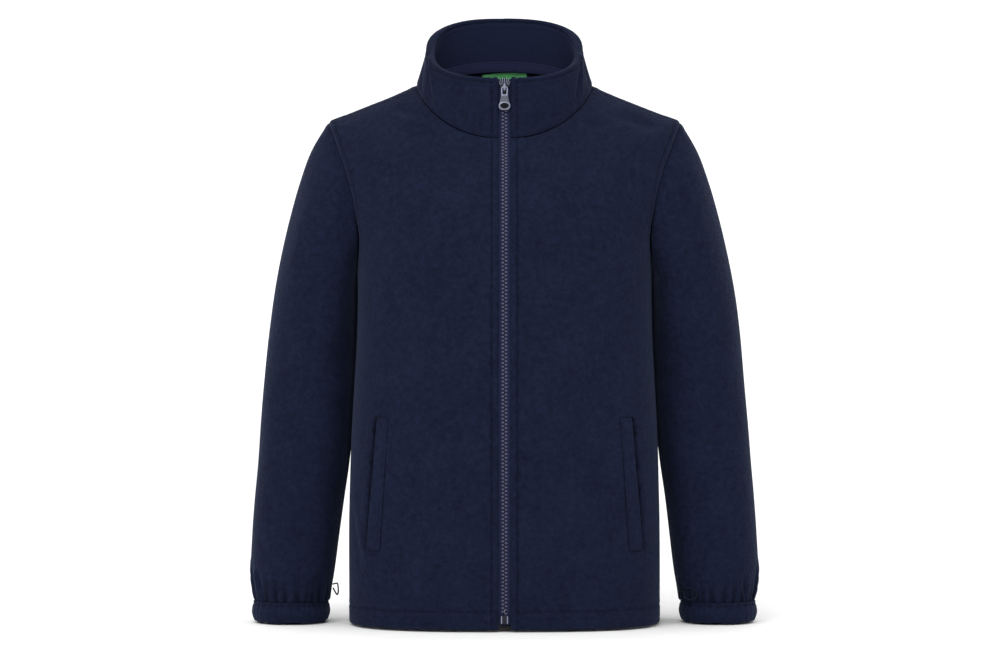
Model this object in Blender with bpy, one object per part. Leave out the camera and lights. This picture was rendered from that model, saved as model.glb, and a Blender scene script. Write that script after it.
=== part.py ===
"""A child's fleece zip jacket, filled out as if worn, with one solid for each sewn or fitted piece.

Frame: +Z up, the front faces -Y, and +X is the wearer's left. The origin is the centre of the
neck, at the height where the shoulder seams meet the collar.

The cloth follows two ring tables. A ring goes once round the body, and its plan is a
superellipse: at polar angle "turn" (0 at the +X side, -90 degrees at centre front, +90 degrees at
centre back) the radius r solves (r cos / half_width)^square + (r sin / depth)^square = 1. Its
height runs from side_z at the side to front_z or back_z at the centre, as the share of the depth
reached, to the power "drop". The sleeves are tubes of rings too, each between an outer point on
the arm's outside and an inner point under the arm.
"""

import math
from collections import namedtuple

import bmesh
import bpy
import numpy as np
from mathutils import Matrix, Vector

MM = 0.001

# Cloth, seams and openings, in millimetres.
CLOTH = 2.2
SEAM = 0.3
FRONT_GAP = 9.8
ARMHOLE_FRONT = 41.0
ARMHOLE_BACK = 45.0
ARMHOLE_CLEAR = 0.35
SIDE_SHARE = 0.5  # share of a panel's columns, from its side, that give way to the armhole

# Collar: one piece folded at its rim, with a space between its two layers for the zip's tape.
COLLAR_SPACE = 1.5
COLLAR_START = 0.05
COLLAR_FOLD = 3.8

# Zip, measured inwards from the cloth's outer face.
TAPE_OUT = 2.5
TAPE_IN = 3.3
TAPE_EDGE = 15.0
CHAIN_OUT = 1.7
CHAIN_IN = 4.1
CHAIN_HALF = 2.9
CHAIN_SPLIT = 0.15
CHAIN_HIGH = -6.4
TAPE_LOW = -431.5
TAPE_HIGH = -1.2
BOX_TOP = -423.8
BOX_BOTTOM = -430.4

# Pocket welts: the opening's line, from its upper to its lower end, on the +X front.
WELT_TOP_Z = -269.0
WELT_BOTTOM_Z = -374.0
WELT_TOP_X = 100.5
WELT_BOTTOM_X = 109.5
WELT_WIDTH_TOP = 8.6
WELT_WIDTH_BOTTOM = 10.6
WELT_THICK = 1.2

# Mesh divisions, and the step of the differences that give a surface's normals.
FRONT_COLUMNS = 9
BACK_COLUMNS = 18
ARMHOLE_STEPS = 10
COLLAR_COLUMNS = 28
STEP = 0.002

BodyRow = namedtuple(
    "BodyRow", "half_width side_z front front_z back back_z square drop"
)
BODY_ROWS = (
    BodyRow(125.8, -435.0, 88.0, -435.0, 86.0, -435.0, 2.80, 1.8),  # hem
    BodyRow(125.9, -388.0, 88.6, -388.0, 86.3, -388.0, 2.80, 1.8),
    BodyRow(125.8, -341.5, 89.0, -341.5, 86.4, -341.5, 2.80, 1.8),
    BodyRow(124.6, -295.0, 89.2, -295.0, 86.3, -295.0, 2.82, 1.8),  # waist
    BodyRow(122.0, -248.5, 89.1, -248.5, 86.2, -248.0, 2.85, 1.8),
    BodyRow(119.9, -202.0, 88.7, -202.0, 86.2, -201.0, 2.88, 1.8),
    BodyRow(119.5, -155.0, 88.0, -156.0, 86.2, -154.0, 2.90, 1.8),  # under the arm
    BodyRow(119.6, -147.0, 87.8, -149.5, 86.2, -147.0, 2.88, 1.8),
    BodyRow(121.2, -124.0, 87.1, -133.0, 86.0, -127.0, 2.75, 1.8),
    BodyRow(132.2, -92.5, 85.2, -112.0, 85.0, -98.0, 2.32, 1.8),
    BodyRow(142.0, -61.0, 81.8, -94.0, 82.5, -70.0, 2.02, 1.8),
    BodyRow(144.8, -38.5, 78.0, -82.0, 79.3, -51.5, 1.88, 1.8),
    BodyRow(142.8, -30.0, 75.6, -76.0, 77.0, -44.0, 1.82, 1.8),  # shoulder tip
    BodyRow(125.0, -22.7, 72.2, -69.0, 71.3, -30.0, 1.88, 1.75),
    BodyRow(107.2, -15.3, 68.5, -61.7, 65.0, -14.5, 1.98, 1.7),
    BodyRow(89.4, -8.0, 64.4, -54.4, 58.0, 1.5, 2.09, 1.6),
    BodyRow(71.7, -0.5, 60.0, -47.0, 51.0, 18.0, 2.20, 1.5),  # neck seam
)
ARMPIT = 6
TIP = 12
NECK = 16

COLLAR_ROWS = (
    BODY_ROWS[NECK],
    BodyRow(69.6, 8.0, 58.6, -34.7, 51.0, 29.0, 2.25, 1.35),
    BodyRow(67.0, 16.5, 57.3, -22.5, 50.8, 39.5, 2.35, 1.20),
    BodyRow(64.6, 24.5, 56.1, -10.0, 50.4, 50.0, 2.45, 1.10),
    BodyRow(63.3, 31.0, 55.0, 2.0, 50.0, 60.0, 2.50, 1.00),  # rim
)
RIM = 4

SleeveRow = namedtuple(
    "SleeveRow", "outer_x outer_z inner_x inner_z centre_y half_depth square"
)
SLEEVE_ROWS = (
    SleeveRow(149.0, -39.0, 120.2, -158.5, 3.0, 45.5, 2.15),
    SleeveRow(157.5, -54.0, 120.3, -163.0, 4.5, 48.5, 2.15),
    SleeveRow(166.5, -78.0, 120.4, -169.0, 6.5, 50.5, 2.20),
    SleeveRow(174.5, -105.0, 120.5, -178.0, 8.5, 51.0, 2.20),
    SleeveRow(181.5, -134.0, 120.6, -190.0, 10.0, 50.0, 2.25),
    SleeveRow(187.5, -165.0, 120.8, -205.0, 11.5, 48.5, 2.25),
    SleeveRow(192.0, -198.0, 121.6, -224.0, 12.5, 46.5, 2.25),
    SleeveRow(196.0, -238.0, 122.9, -250.0, 13.0, 44.0, 2.30),  # elbow
    SleeveRow(199.3, -275.0, 124.6, -280.0, 12.5, 42.0, 2.30),
    SleeveRow(201.6, -307.0, 127.6, -309.0, 11.0, 40.5, 2.30),
    SleeveRow(204.0, -335.0, 131.2, -335.0, 9.0, 39.0, 2.30),
    SleeveRow(206.0, -366.0, 135.0, -366.0, 6.5, 37.5, 2.30),
    SleeveRow(206.8, -392.0, 138.2, -392.0, 4.5, 36.0, 2.30),
    SleeveRow(205.6, -408.0, 140.6, -408.0, 3.5, 34.5, 2.30),
    SleeveRow(204.2, -418.8, 142.3, -418.8, 3.0, 33.2, 2.30),  # casing's stitch line
)

# The flat ring nearest to the armhole's edge. What the edge has beyond it fades out down the
# sleeve's head by these shares, ring by ring.
ARMHOLE_FLAT = SleeveRow(143.1, -30.0, 119.8, -155.0, 2.0, 43.0, 2.0)
HEAD_FADE = (0.8, 0.55, 0.32, 0.14, 0.04)

# The cuff's elastic casing: its outer face from the stitch line down, round its fold, and its
# inner face up again. "inset" is how far the face lies inside the outermost line.
CuffRow = namedtuple("CuffRow", "inset height")
CUFF_ROWS = (
    CuffRow(0.8, -419.1),
    CuffRow(0.0, -424.0),
    CuffRow(0.0, -431.0),
    CuffRow(1.2, -434.4),
    CuffRow(2.6, -435.6),
    CuffRow(4.2, -434.2),
    CuffRow(5.2, -430.0),
    CuffRow(5.2, -419.1),
)
CUFF_OUTER_X = 205.2
CUFF_INNER_X = 142.9
CUFF_CENTRE_Y = 3.0
CUFF_HALF_DEPTH = 33.8

# Neck label and the tape over the neck seam, measured inwards from the collar's outer face.
NECK_TAPE_OUT = 6.2
NECK_TAPE_IN = 7.0
NECK_TAPE_COLUMNS = slice(8, 21)
LABEL_HALF_WIDTH = 19.0
LABEL_TOP_Z = 14.2
LABEL_SLOPE = 0.06
LABEL_HEIGHT = 30.0
LABEL_THICK = 0.8

# Slider and pull, in their own frame: across, outwards from the cloth's face, and up the zip,
# from the middle of the slider. An outline's corners are (across, up, radius), right-hand side.
SLIDER_Z = -4.4
SLIDER_HALF_LENGTH = 5.6
SLIDER_HALF_WIDTH = 4.5
PLATE = 1.2
PLATE_OUT = -0.2
WEDGE_HALF = 1.0
WEDGE_UP = (0.2, 5.4)
BRIDGE_HALF_WIDTH = 0.9
BRIDGE_LOW = -4.4
BRIDGE_HIGH = 3.2
BRIDGE_OUT = 3.0
BRIDGE_BEAM = 1.0
PULL_AXIS_OUT = 0.9
PULL_AXIS_UP = -1.2
PULL_THICK = 1.2
PULL_OUTLINE = (
    (2.9, 0.55, 1.0),
    (2.9, -8.0, 0.0),
    (4.7, -14.6, 1.8),
    (3.9, -19.0, 2.6),
)
PULL_EYE = (
    (1.6, -0.55, 0.0),
    (1.6, -6.6, 0.8),
)
BOX_HALF_WIDTH = 3.2
BOX_OUT = -0.4

# Elastic loops at the cuffs: points chosen along each one, from the seam under the arm and back.
LOOP_DIAMETER = 1.2
LOOP_POINTS = 18
LOOP_LEFT = (
    (141.0, -8.0, -409.2),
    (142.2, -12.2, -408.8),
    (144.3, -16.9, -408.4),
    (147.5, -21.5, -407.4),
    (150.6, -24.6, -407.6),
    (153.7, -27.0, -409.2),
    (155.2, -27.9, -412.0),
    (153.9, -27.2, -415.0),
    (150.8, -24.8, -416.8),
    (147.4, -21.5, -416.3),
    (145.3, -18.5, -413.8),
    (144.4, -17.1, -411.0),
    (142.4, -12.6, -410.6),
    (141.1, -8.2, -410.9),
)
LOOP_RIGHT = (
    (-140.0, 2.4, -406.4),
    (-137.8, 0.2, -405.6),
    (-136.2, -3.6, -405.2),
    (-135.4, -8.0, -405.9),
    (-134.9, -11.0, -408.2),
    (-134.8, -11.6, -410.9),
    (-135.3, -9.6, -413.2),
    (-136.4, -5.4, -414.0),
    (-137.9, -1.0, -412.4),
    (-139.8, 2.4, -409.6),
)

FLEECE = ((0.011, 0.016, 0.037, 1.0), 0.95, 0.0)
ZIP_TAPE = ((0.012, 0.014, 0.030, 1.0), 0.8, 0.0)
ZIP_TEETH = ((0.045, 0.042, 0.060, 1.0), 0.4, 0.0)
METAL = ((0.16, 0.18, 0.24, 1.0), 0.35, 0.9)
ELASTIC = ((0.01, 0.011, 0.018, 1.0), 0.7, 0.0)
LABEL_GREEN = ((0.06, 0.45, 0.10, 1.0), 0.7, 0.0)


def clear_scene():
    """Removes every object, so the script gives the same model each time it is run."""
    for old in list(bpy.data.objects):
        bpy.data.objects.remove(old, do_unlink=True)


def material(name, finish):
    """A Principled material of one colour, roughness and metallic value."""
    made = bpy.data.materials.new(name)
    made.use_nodes = True
    shader = made.node_tree.nodes["Principled BSDF"]
    colour, roughness, metallic = finish
    shader.inputs["Base Color"].default_value = colour
    shader.inputs["Roughness"].default_value = roughness
    shader.inputs["Metallic"].default_value = metallic
    return made


def link(name, data, finish):
    """Puts the data into the scene as an object with its own material."""
    made = bpy.data.objects.new(name, data)
    bpy.context.scene.collection.objects.link(made)
    data.materials.append(material(name, finish))
    return made


def mesh_object(name, points, faces, finish):
    """A closed mesh from points in millimetres, with its faces turned outwards."""
    mesh = bpy.data.meshes.new(name)
    mesh.from_pydata((np.asarray(points) * MM).tolist(), [], faces)
    shape = bmesh.new()
    shape.from_mesh(mesh)
    bmesh.ops.recalc_face_normals(shape, faces=shape.faces)
    shape.to_mesh(mesh)
    shape.free()
    mesh.shade_smooth()
    mesh.set_sharp_from_angle(angle=math.radians(40))
    return link(name, mesh, finish)


def mirrored(points):
    """The same points on the wearer's other side."""
    return np.asarray(points) * (-1.0, 1.0, 1.0)


# Rings and rows ---------------------------------------------------------------------------------


def knots(table):
    """Distance along a table, row by row, from the change of height at the side and the front."""
    heights = np.array([(row.side_z, row.front_z) for row in table])
    steps = np.hypot(*np.diff(heights, axis=0).T)
    return np.concatenate([[0.0], np.cumsum(steps)])


def smooth_rows(table, at):
    """A table's rows at any station: a cubic between rows, its slope at a row from both sides."""
    rows, places = np.array(table, float), knots(table)
    slopes = np.gradient(rows, places, axis=0)
    at = np.asarray(at, float)
    first = np.clip(np.floor(at).astype(int), 0, len(rows) - 2)
    part = (at - first)[:, None]
    span = np.diff(places)[first][:, None]
    read = (
        rows[first] * (1 + 2 * part) * (1 - part) ** 2
        + slopes[first] * span * part * (1 - part) ** 2
        + rows[first + 1] * part**2 * (3 - 2 * part)
        + slopes[first + 1] * span * part**2 * (part - 1)
    )
    return BodyRow(*(column[:, None] for column in read.T))


def body_rows(at):
    """Body rows at any station from the hem, 0, to the neck seam."""
    return smooth_rows(BODY_ROWS, at)


def collar_rows(at):
    """Collar rows at any station from the neck seam, 0, to the rim."""
    return smooth_rows(COLLAR_ROWS, at)


def ring(rows, turn):
    """Points of the rings at polar angles "turn": superellipse in plan, height by depth."""
    across, along = np.abs(np.cos(turn)), np.abs(np.sin(turn))
    front = np.sin(turn) < 0
    depth = np.where(front, rows.front, rows.back)
    centre_z = np.where(front, rows.front_z, rows.back_z)
    radius = (
        (across / rows.half_width) ** rows.square + (along / depth) ** rows.square
    ) ** (-1 / rows.square)
    reach = radius * along / depth
    height = rows.side_z + (centre_z - rows.side_z) * reach**rows.drop
    return np.stack([radius * np.cos(turn), radius * np.sin(turn), height], axis=-1)


def turn_at_width(rows, width):
    """Polar angle, on the front of the +X side, at a distance from the centre line."""
    reach = rows.front * (1 - (width / rows.half_width) ** rows.square) ** (1 / rows.square)
    return -np.arctan2(reach, width)


def turn_at_reach(rows, reach, depth):
    """Polar angle, taken as positive, at a distance forwards or backwards from the side."""
    width = rows.half_width * (1 - (reach / depth) ** rows.square) ** (1 / rows.square)
    return np.arctan2(reach, width)


def surface(rows_of, stations, turn):
    """Points and outward unit normals at stations and polar angles, by central differences."""
    rows = rows_of(stations)
    around = ring(rows, turn + STEP) - ring(rows, turn - STEP)
    upward = ring(rows_of(stations + STEP), turn) - ring(rows_of(stations - STEP), turn)
    normals = np.cross(around, upward)
    return ring(rows, turn), normals / np.linalg.norm(normals, axis=-1, keepdims=True)


def tube_normals(points):
    """Outward unit normals of a tube's rings, from the central differences of its points."""
    down = np.gradient(points, axis=0)
    around = np.roll(points, -1, axis=1) - np.roll(points, 1, axis=1)
    normals = np.cross(down, around)
    normals /= np.linalg.norm(normals, axis=-1, keepdims=True)
    outward = np.sum(normals * (points - points.mean(axis=1, keepdims=True)), axis=-1)
    return normals * np.where(outward < 0, -1.0, 1.0)[..., None]


def wall(name, outer, inner, finish, closed=False):
    """A cloth wall between two grids of points, closed all round its edges."""
    rows, columns = outer.shape[:2]
    count = rows * columns
    index = np.arange(count).reshape(rows, columns)
    faces = []
    spans = columns if closed else columns - 1
    for row in range(rows - 1):
        for column in range(spans):
            after = (column + 1) % columns
            quad = [
                index[row, column],
                index[row, after],
                index[row + 1, after],
                index[row + 1, column],
            ]
            faces.append([int(k) for k in quad])
            faces.append([int(k) + count for k in reversed(quad)])
    if closed:
        rims = [np.append(index[0], index[0, 0]), np.append(index[-1], index[-1, 0])]
    else:
        rims = [
            np.concatenate([index[0], index[1:, -1], index[-1, -2::-1], index[-2::-1, 0]])
        ]
    for rim in rims:
        for one, two in zip(rim[:-1], rim[1:]):
            faces.append([int(one), int(two), int(two) + count, int(one) + count])
    points = np.concatenate([outer.reshape(-1, 3), inner.reshape(-1, 3)])
    return mesh_object(name, points, faces, finish)


# Body panels ------------------------------------------------------------------------------------


def panel_stations():
    """Stations of the panels' rows, with the armhole's own steps between armpit and tip."""
    places = knots(BODY_ROWS)
    low, high = places[ARMPIT], places[TIP]
    angle = np.linspace(0, np.pi, ARMHOLE_STEPS + 1)
    hole = np.interp(low + (high - low) * (1 - np.cos(angle)) / 2, places, range(NECK + 1))
    return np.concatenate([np.arange(0, ARMPIT, 1.0), hole, np.arange(TIP + 1, NECK + 1, 1.0)])


def side_turn(stations, rows, depth, hole_depth):
    """Where a panel starts: its side or shoulder seam, or the armhole's arch between them."""
    places = knots(BODY_ROWS)
    low, high = places[ARMPIT], places[TIP]
    share = np.clip((np.interp(stations, range(NECK + 1), places) - low) / (high - low), 0, 1)
    reach = hole_depth * 2 * np.sqrt(share * (1 - share))[:, None]
    return turn_at_reach(rows, np.maximum(reach, SEAM / 2), depth)


def front_face():
    """The +X front's outer face, from the side or armhole to the folded edge at the zip."""
    stations = panel_stations()
    rows = body_rows(stations)
    start = -side_turn(stations, rows, rows.front, ARMHOLE_FRONT)
    end = turn_at_width(rows, FRONT_GAP / 2)
    share = np.linspace(0, 1, FRONT_COLUMNS + 1)[None, :]
    turn = end * share + start * np.maximum(1 - share / SIDE_SHARE, 0)
    return surface(body_rows, stations, turn)


def back_face():
    """The back's outer face, from one side or armhole to the other."""
    stations = panel_stations()
    rows = body_rows(stations)
    start = side_turn(stations, rows, rows.back, ARMHOLE_BACK)
    share = np.linspace(-1, 1, BACK_COLUMNS + 1)[None, :]
    side = np.maximum(np.abs(share) - 1 + SIDE_SHARE, 0) / SIDE_SHARE
    return surface(body_rows, stations, np.pi / 2 * (1 + share) - np.sign(share) * start * side)


def make_panels():
    """The two fronts and the back, each one layer of fleece."""
    outer, normals = front_face()
    inner = outer - CLOTH * normals
    wall("front_left", outer, inner, FLEECE)
    wall("front_right", mirrored(outer), mirrored(inner), FLEECE)
    outer, normals = back_face()
    wall("back", outer, outer - CLOTH * normals, FLEECE)


# Sleeves ----------------------------------------------------------------------------------------


def sleeve_ring(outer_x, outer_z, inner_x, inner_z, centre_y, half_depth, square, inset=0.0):
    """A ring between the arm's outer and inner points, from the top round by the front."""
    steps = 2 * ARMHOLE_STEPS
    angle = np.arange(steps) * 2 * np.pi / steps
    cosine, sine = np.cos(angle), np.sin(angle)
    outer = np.array([outer_x - inset, centre_y, outer_z])
    inner = np.array([inner_x + inset, centre_y, inner_z])
    along = np.sign(cosine) * np.abs(cosine) ** (2 / square)
    deep = np.sign(sine) * np.abs(sine) ** (2 / square) * (half_depth - inset)
    middle, half = (outer + inner) / 2, (outer - inner) / 2
    return middle + along[:, None] * half - deep[:, None] * np.array([0.0, 1.0, 0.0])


def armhole_ring():
    """The sleeve's first ring and its normals, from the shoulder tip round by the front.

    Each point is the armhole's edge, moved a seam's width into the opening: along the panel's own
    face near the shoulder, and straight outwards under the arm, where the sleeve doubles back.
    """
    hole = slice(ARMPIT, ARMPIT + ARMHOLE_STEPS + 1)
    faces = (front_face(), back_face())
    front, back = (
        np.concatenate([points[hole, :2], normals[hole, :1]], axis=1) for points, normals in faces
    )
    both = np.concatenate([front[::-1], back[1:-1]])
    edge, within, normals = both[:, 0], both[:, 1], both[:, 2]
    edge[[0, ARMHOLE_STEPS], 1] = 0.0
    along = np.roll(edge, -1, axis=0) - np.roll(edge, 1, axis=0)
    across = np.cross(along, normals)
    across /= np.linalg.norm(across, axis=-1, keepdims=True)
    across *= np.sign(np.sum(across * (edge - within), axis=-1, keepdims=True))
    steps = 2 * ARMHOLE_STEPS
    height = (1 + np.cos(np.arange(steps) * 2 * np.pi / steps))[:, None] / 2
    weight = np.clip((height - 0.2) / 0.4, 0, 1)
    move = across * weight + np.array([1.0, 0.0, 0.0]) * (1 - weight)
    move /= np.linalg.norm(move, axis=-1, keepdims=True)
    return edge + ARMHOLE_CLEAR * move, normals, weight


def make_sleeves():
    """The two sleeves, from the armhole to the casing's stitch line."""
    edge, panel_normals, weight = armhole_ring()
    outer = np.stack([edge] + [sleeve_ring(*row) for row in SLEEVE_ROWS])
    beyond = edge - sleeve_ring(*ARMHOLE_FLAT)
    for number, share in enumerate(HEAD_FADE, start=1):
        outer[number] += share * beyond
    normals = tube_normals(outer)
    joined = normals[0] * (1 - weight) + panel_normals * weight
    normals[0] = joined / np.linalg.norm(joined, axis=-1, keepdims=True)
    inner = outer - CLOTH * normals
    wall("sleeve_left", outer, inner, FLEECE, closed=True)
    wall("sleeve_right", mirrored(outer), mirrored(inner), FLEECE, closed=True)


def make_cuffs():
    """The elastic casings at the sleeves' ends, each folded under at its lower edge."""
    rings = [
        sleeve_ring(
            CUFF_OUTER_X,
            row.height,
            CUFF_INNER_X,
            row.height,
            CUFF_CENTRE_Y,
            CUFF_HALF_DEPTH,
            SLEEVE_ROWS[-1].square,
            row.inset,
        )
        for row in CUFF_ROWS
    ]
    loop = np.stack(rings + rings[:1])
    count = loop.shape[1]
    faces = []
    for row in range(len(rings)):
        below = (row + 1) % len(rings)
        for column in range(count):
            after = (column + 1) % count
            faces.append(
                [
                    row * count + column,
                    row * count + after,
                    below * count + after,
                    below * count + column,
                ]
            )
    points = loop[:-1].reshape(-1, 3)
    mesh_object("cuff_left", points, faces, FLEECE)
    mesh_object("cuff_right", mirrored(points), faces, FLEECE)


# Collar, neck tape and label --------------------------------------------------------------------


def collar_turns(stations):
    """Polar angles round the collar, from the +X front edge by the back to the other."""
    start = turn_at_width(collar_rows(stations), FRONT_GAP / 2)
    share = np.linspace(0, 1, COLLAR_COLUMNS + 1)[None, :]
    return start + (np.pi - 2 * start) * share


def make_collar():
    """The stand collar: outer layer up, folded over at the rim, and inner layer down."""
    stations = np.array([COLLAR_START, 1.3, 2.6, COLLAR_FOLD, RIM])
    outer, normals = surface(collar_rows, stations, collar_turns(stations))
    whole = 2 * CLOTH + COLLAR_SPACE
    rows_up = (0, 1, 2, 3)
    section = [outer[k] for k in rows_up]
    section += [outer[RIM] - part * whole * normals[RIM] for part in (0.25, 0.75)]
    section += [outer[k] - whole * normals[k] for k in reversed(rows_up)]
    section += [outer[k] - (CLOTH + COLLAR_SPACE) * normals[k] for k in rows_up]
    section += [outer[k] - CLOTH * normals[k] for k in reversed(rows_up)]
    section = np.stack(section)
    rows_round, columns = section.shape[:2]
    faces = []
    for row in range(rows_round):
        below = (row + 1) % rows_round
        for column in range(columns - 1):
            faces.append(
                [
                    row * columns + column,
                    row * columns + column + 1,
                    below * columns + column + 1,
                    below * columns + column,
                ]
            )
    for column in (0, columns - 1):
        faces.append([row * columns + column for row in range(rows_round)])
    mesh_object("collar", section.reshape(-1, 3), faces, FLEECE)


def make_neck_tape():
    """The narrow tape that covers the neck seam inside the back of the collar."""
    stations = np.array([COLLAR_START, 0.25, 0.5])
    turns = collar_turns(stations)[:, NECK_TAPE_COLUMNS]
    face, normals = surface(collar_rows, stations, turns)
    wall("neck_tape", face - NECK_TAPE_OUT * normals, face - NECK_TAPE_IN * normals, ZIP_TAPE)


def make_label():
    """The plain neck label, sewn on the inside of the back just below the neck seam."""
    stations = np.linspace(TIP, NECK, 41)
    centre = body_rows(stations).back_z[:, 0]
    across = np.linspace(-LABEL_HALF_WIDTH, LABEL_HALF_WIDTH, 5)
    columns = []
    for width in across:
        heights = LABEL_TOP_Z + LABEL_SLOPE * width - np.linspace(0, LABEL_HEIGHT, 5)
        station = np.interp(heights, centre, stations)
        rows = body_rows(station)
        reach = rows.back * (1 - (abs(width) / rows.half_width) ** rows.square) ** (
            1 / rows.square
        )
        columns.append(surface(body_rows, station, np.arctan2(reach, width)))
    face, normals = (np.concatenate(part, axis=1) for part in zip(*columns))
    near = face - (CLOTH + SEAM) * normals
    wall("neck_label", near, near - LABEL_THICK * normals, LABEL_GREEN)


# Pocket welts -----------------------------------------------------------------------------------


def front_at(widths, heights):
    """Points and normals of the front's outer face below the armpit, where rings are level."""
    stations = np.linspace(0, ARMPIT, 241)
    station = np.interp(heights, body_rows(stations).side_z[:, 0], stations)
    return surface(body_rows, station, turn_at_width(body_rows(station), widths))


def make_welts():
    """The welts: strips on the fronts, beside the pocket openings at their outer edges."""
    share = np.linspace(0, 1, 9)
    heights = WELT_TOP_Z + (WELT_BOTTOM_Z - WELT_TOP_Z) * share
    opening = WELT_TOP_X + (WELT_BOTTOM_X - WELT_TOP_X) * share
    width = WELT_WIDTH_TOP + (WELT_WIDTH_BOTTOM - WELT_WIDTH_TOP) * share
    widths = opening[:, None] - width[:, None] * np.array([[0.0, 0.5, 1.0]])
    face, normals = front_at(widths, heights)
    near = face + SEAM * normals
    far = face + (SEAM + WELT_THICK) * normals
    wall("welt_left", far, near, FLEECE)
    wall("welt_right", mirrored(far), mirrored(near), FLEECE)


# Zip --------------------------------------------------------------------------------------------


def zip_face(widths, low, high):
    """Points and normals beside the centre line, between two heights of the body and collar."""
    widths = np.asarray(widths, float)[None, :]
    parts = []
    for rows_of, stations in (
        (body_rows, np.arange(0, NECK + 1, 1.0)),
        (collar_rows, np.array([0.15, 1.0, 2.0, 3.0, 4.0])),
    ):
        parts.append(surface(rows_of, stations, turn_at_width(rows_of(stations), widths)))
    face, normals = (np.concatenate(part) for part in zip(*parts))
    heights = face[:, 0, 2]
    kept = heights[(heights > low + 3) & (heights < high - 3)]
    levels = np.concatenate([[low], kept, [high]])
    both = np.concatenate([face, normals], axis=-1)
    read = np.stack(
        [
            np.stack([np.interp(levels, heights, both[:, k, axis]) for axis in range(6)], -1)
            for k in range(both.shape[1])
        ],
        axis=1,
    )
    face, normals = read[..., :3], read[..., 3:]
    return face, normals / np.linalg.norm(normals, axis=-1, keepdims=True)


def make_zip():
    """The zip's two tapes and the two rows of teeth, as plain strips that follow the front."""
    face, normals = zip_face((CHAIN_HALF + SEAM, 9.0, TAPE_EDGE), TAPE_LOW, TAPE_HIGH)
    far, near = face - TAPE_OUT * normals, face - TAPE_IN * normals
    wall("zip_tape_left", far, near, ZIP_TAPE)
    wall("zip_tape_right", mirrored(far), mirrored(near), ZIP_TAPE)
    face, normals = zip_face((CHAIN_SPLIT, CHAIN_HALF), BOX_TOP + SEAM, CHAIN_HIGH)
    far, near = face - CHAIN_OUT * normals, face - CHAIN_IN * normals
    wall("zip_teeth_left", far, near, ZIP_TEETH)
    wall("zip_teeth_right", mirrored(far), mirrored(near), ZIP_TEETH)


def zip_frame(height):
    """A frame on the front's outer face at centre front: across, outwards, and up the zip."""
    face, normals = zip_face((0.0,), height - 6.0, height + 6.0)
    place = [np.interp(height, face[:, 0, 2], face[:, 0, axis]) for axis in range(3)]
    up = face[-1, 0] - face[0, 0]
    up /= np.linalg.norm(up)
    out = np.cross((1.0, 0.0, 0.0), up)
    turn = Matrix(((1.0, 0.0, 0.0), (0.0, -out[1], up[1]), (0.0, -out[2], up[2]))).to_4x4()
    return Matrix.Translation(Vector(place) * MM) @ turn


def add_box(shape, across, depth, up):
    """Adds a box to a bmesh. Each pair gives its two ends, with depth measured outwards."""
    ends = (across, (-depth[1], -depth[0]), up)
    made = bmesh.ops.create_cube(shape, size=1.0)
    for vert in made["verts"]:
        vert.co = [(low + high) / 2 + k * (high - low) for k, (low, high) in zip(vert.co, ends)]
        vert.co *= MM


def box_object(name, boxes, finish, place):
    """One body from boxes: the first, with the others joined to it by Boolean unions."""
    made = []
    for number, box in enumerate(boxes):
        shape = bmesh.new()
        add_box(shape, *box)
        mesh = bpy.data.meshes.new(name if number == 0 else f"{name}_join_{number}")
        shape.to_mesh(mesh)
        shape.free()
        made.append(link(mesh.name, mesh, finish))
        made[-1].matrix_world = place
    for cutter in made[1:]:
        cutter.hide_render = True
        cutter.display_type = "WIRE"
        union = made[0].modifiers.new("join", "BOOLEAN")
        union.operation = "UNION"
        union.object = cutter
    return made[0]


def make_slider():
    """The slider: a plate on each side of the teeth, the wedge between, and the pull's bridge."""
    half = SLIDER_HALF_WIDTH
    low, high = -SLIDER_HALF_LENGTH, SLIDER_HALF_LENGTH
    front = (PLATE_OUT - PLATE, PLATE_OUT)
    back = (-CHAIN_IN - SEAM - PLATE, -CHAIN_IN - SEAM)
    beam = (BRIDGE_OUT - BRIDGE_BEAM, BRIDGE_OUT)
    foot = (PLATE_OUT - PLATE / 2, BRIDGE_OUT - BRIDGE_BEAM / 2)
    bridge = (-BRIDGE_HALF_WIDTH, BRIDGE_HALF_WIDTH)
    boxes = (
        ((-half, half), front, (low, high)),
        ((-half, half), back, (low, high)),
        ((-WEDGE_HALF, WEDGE_HALF), (back[1] - PLATE / 2, front[0] + PLATE / 2), WEDGE_UP),
        (bridge, beam, (BRIDGE_LOW, BRIDGE_HIGH)),
        (bridge, foot, (BRIDGE_LOW, BRIDGE_LOW + BRIDGE_BEAM)),
        (bridge, foot, (BRIDGE_HIGH - BRIDGE_BEAM, BRIDGE_HIGH)),
    )
    box_object("zip_slider", boxes, METAL, zip_frame(SLIDER_Z))


def outline_points(corners, arc_steps=6):
    """A mirrored outline from its right-hand corners, each given as (across, up, radius)."""
    right = []
    for number, (across, up, radius) in enumerate(corners):
        if radius == 0:
            right.append((across, up))
            continue
        here = np.array([across, up])
        before = np.array(corners[number - 1][:2]) if number else np.array([-across, up])
        after_corner = corners[number + 1][:2] if number + 1 < len(corners) else (-across, up)
        one = (before - here) / np.linalg.norm(before - here)
        two = (np.array(after_corner) - here) / np.linalg.norm(np.array(after_corner) - here)
        for share in np.linspace(0, 1, arc_steps):
            start, end = here + one * radius, here + two * radius
            bent = (1 - share) ** 2 * start + 2 * share * (1 - share) * here + share**2 * end
            right.append(tuple(bent))
    left = [(-across, up) for across, up in reversed(right) if across > 0.01]
    return right + left


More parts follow.
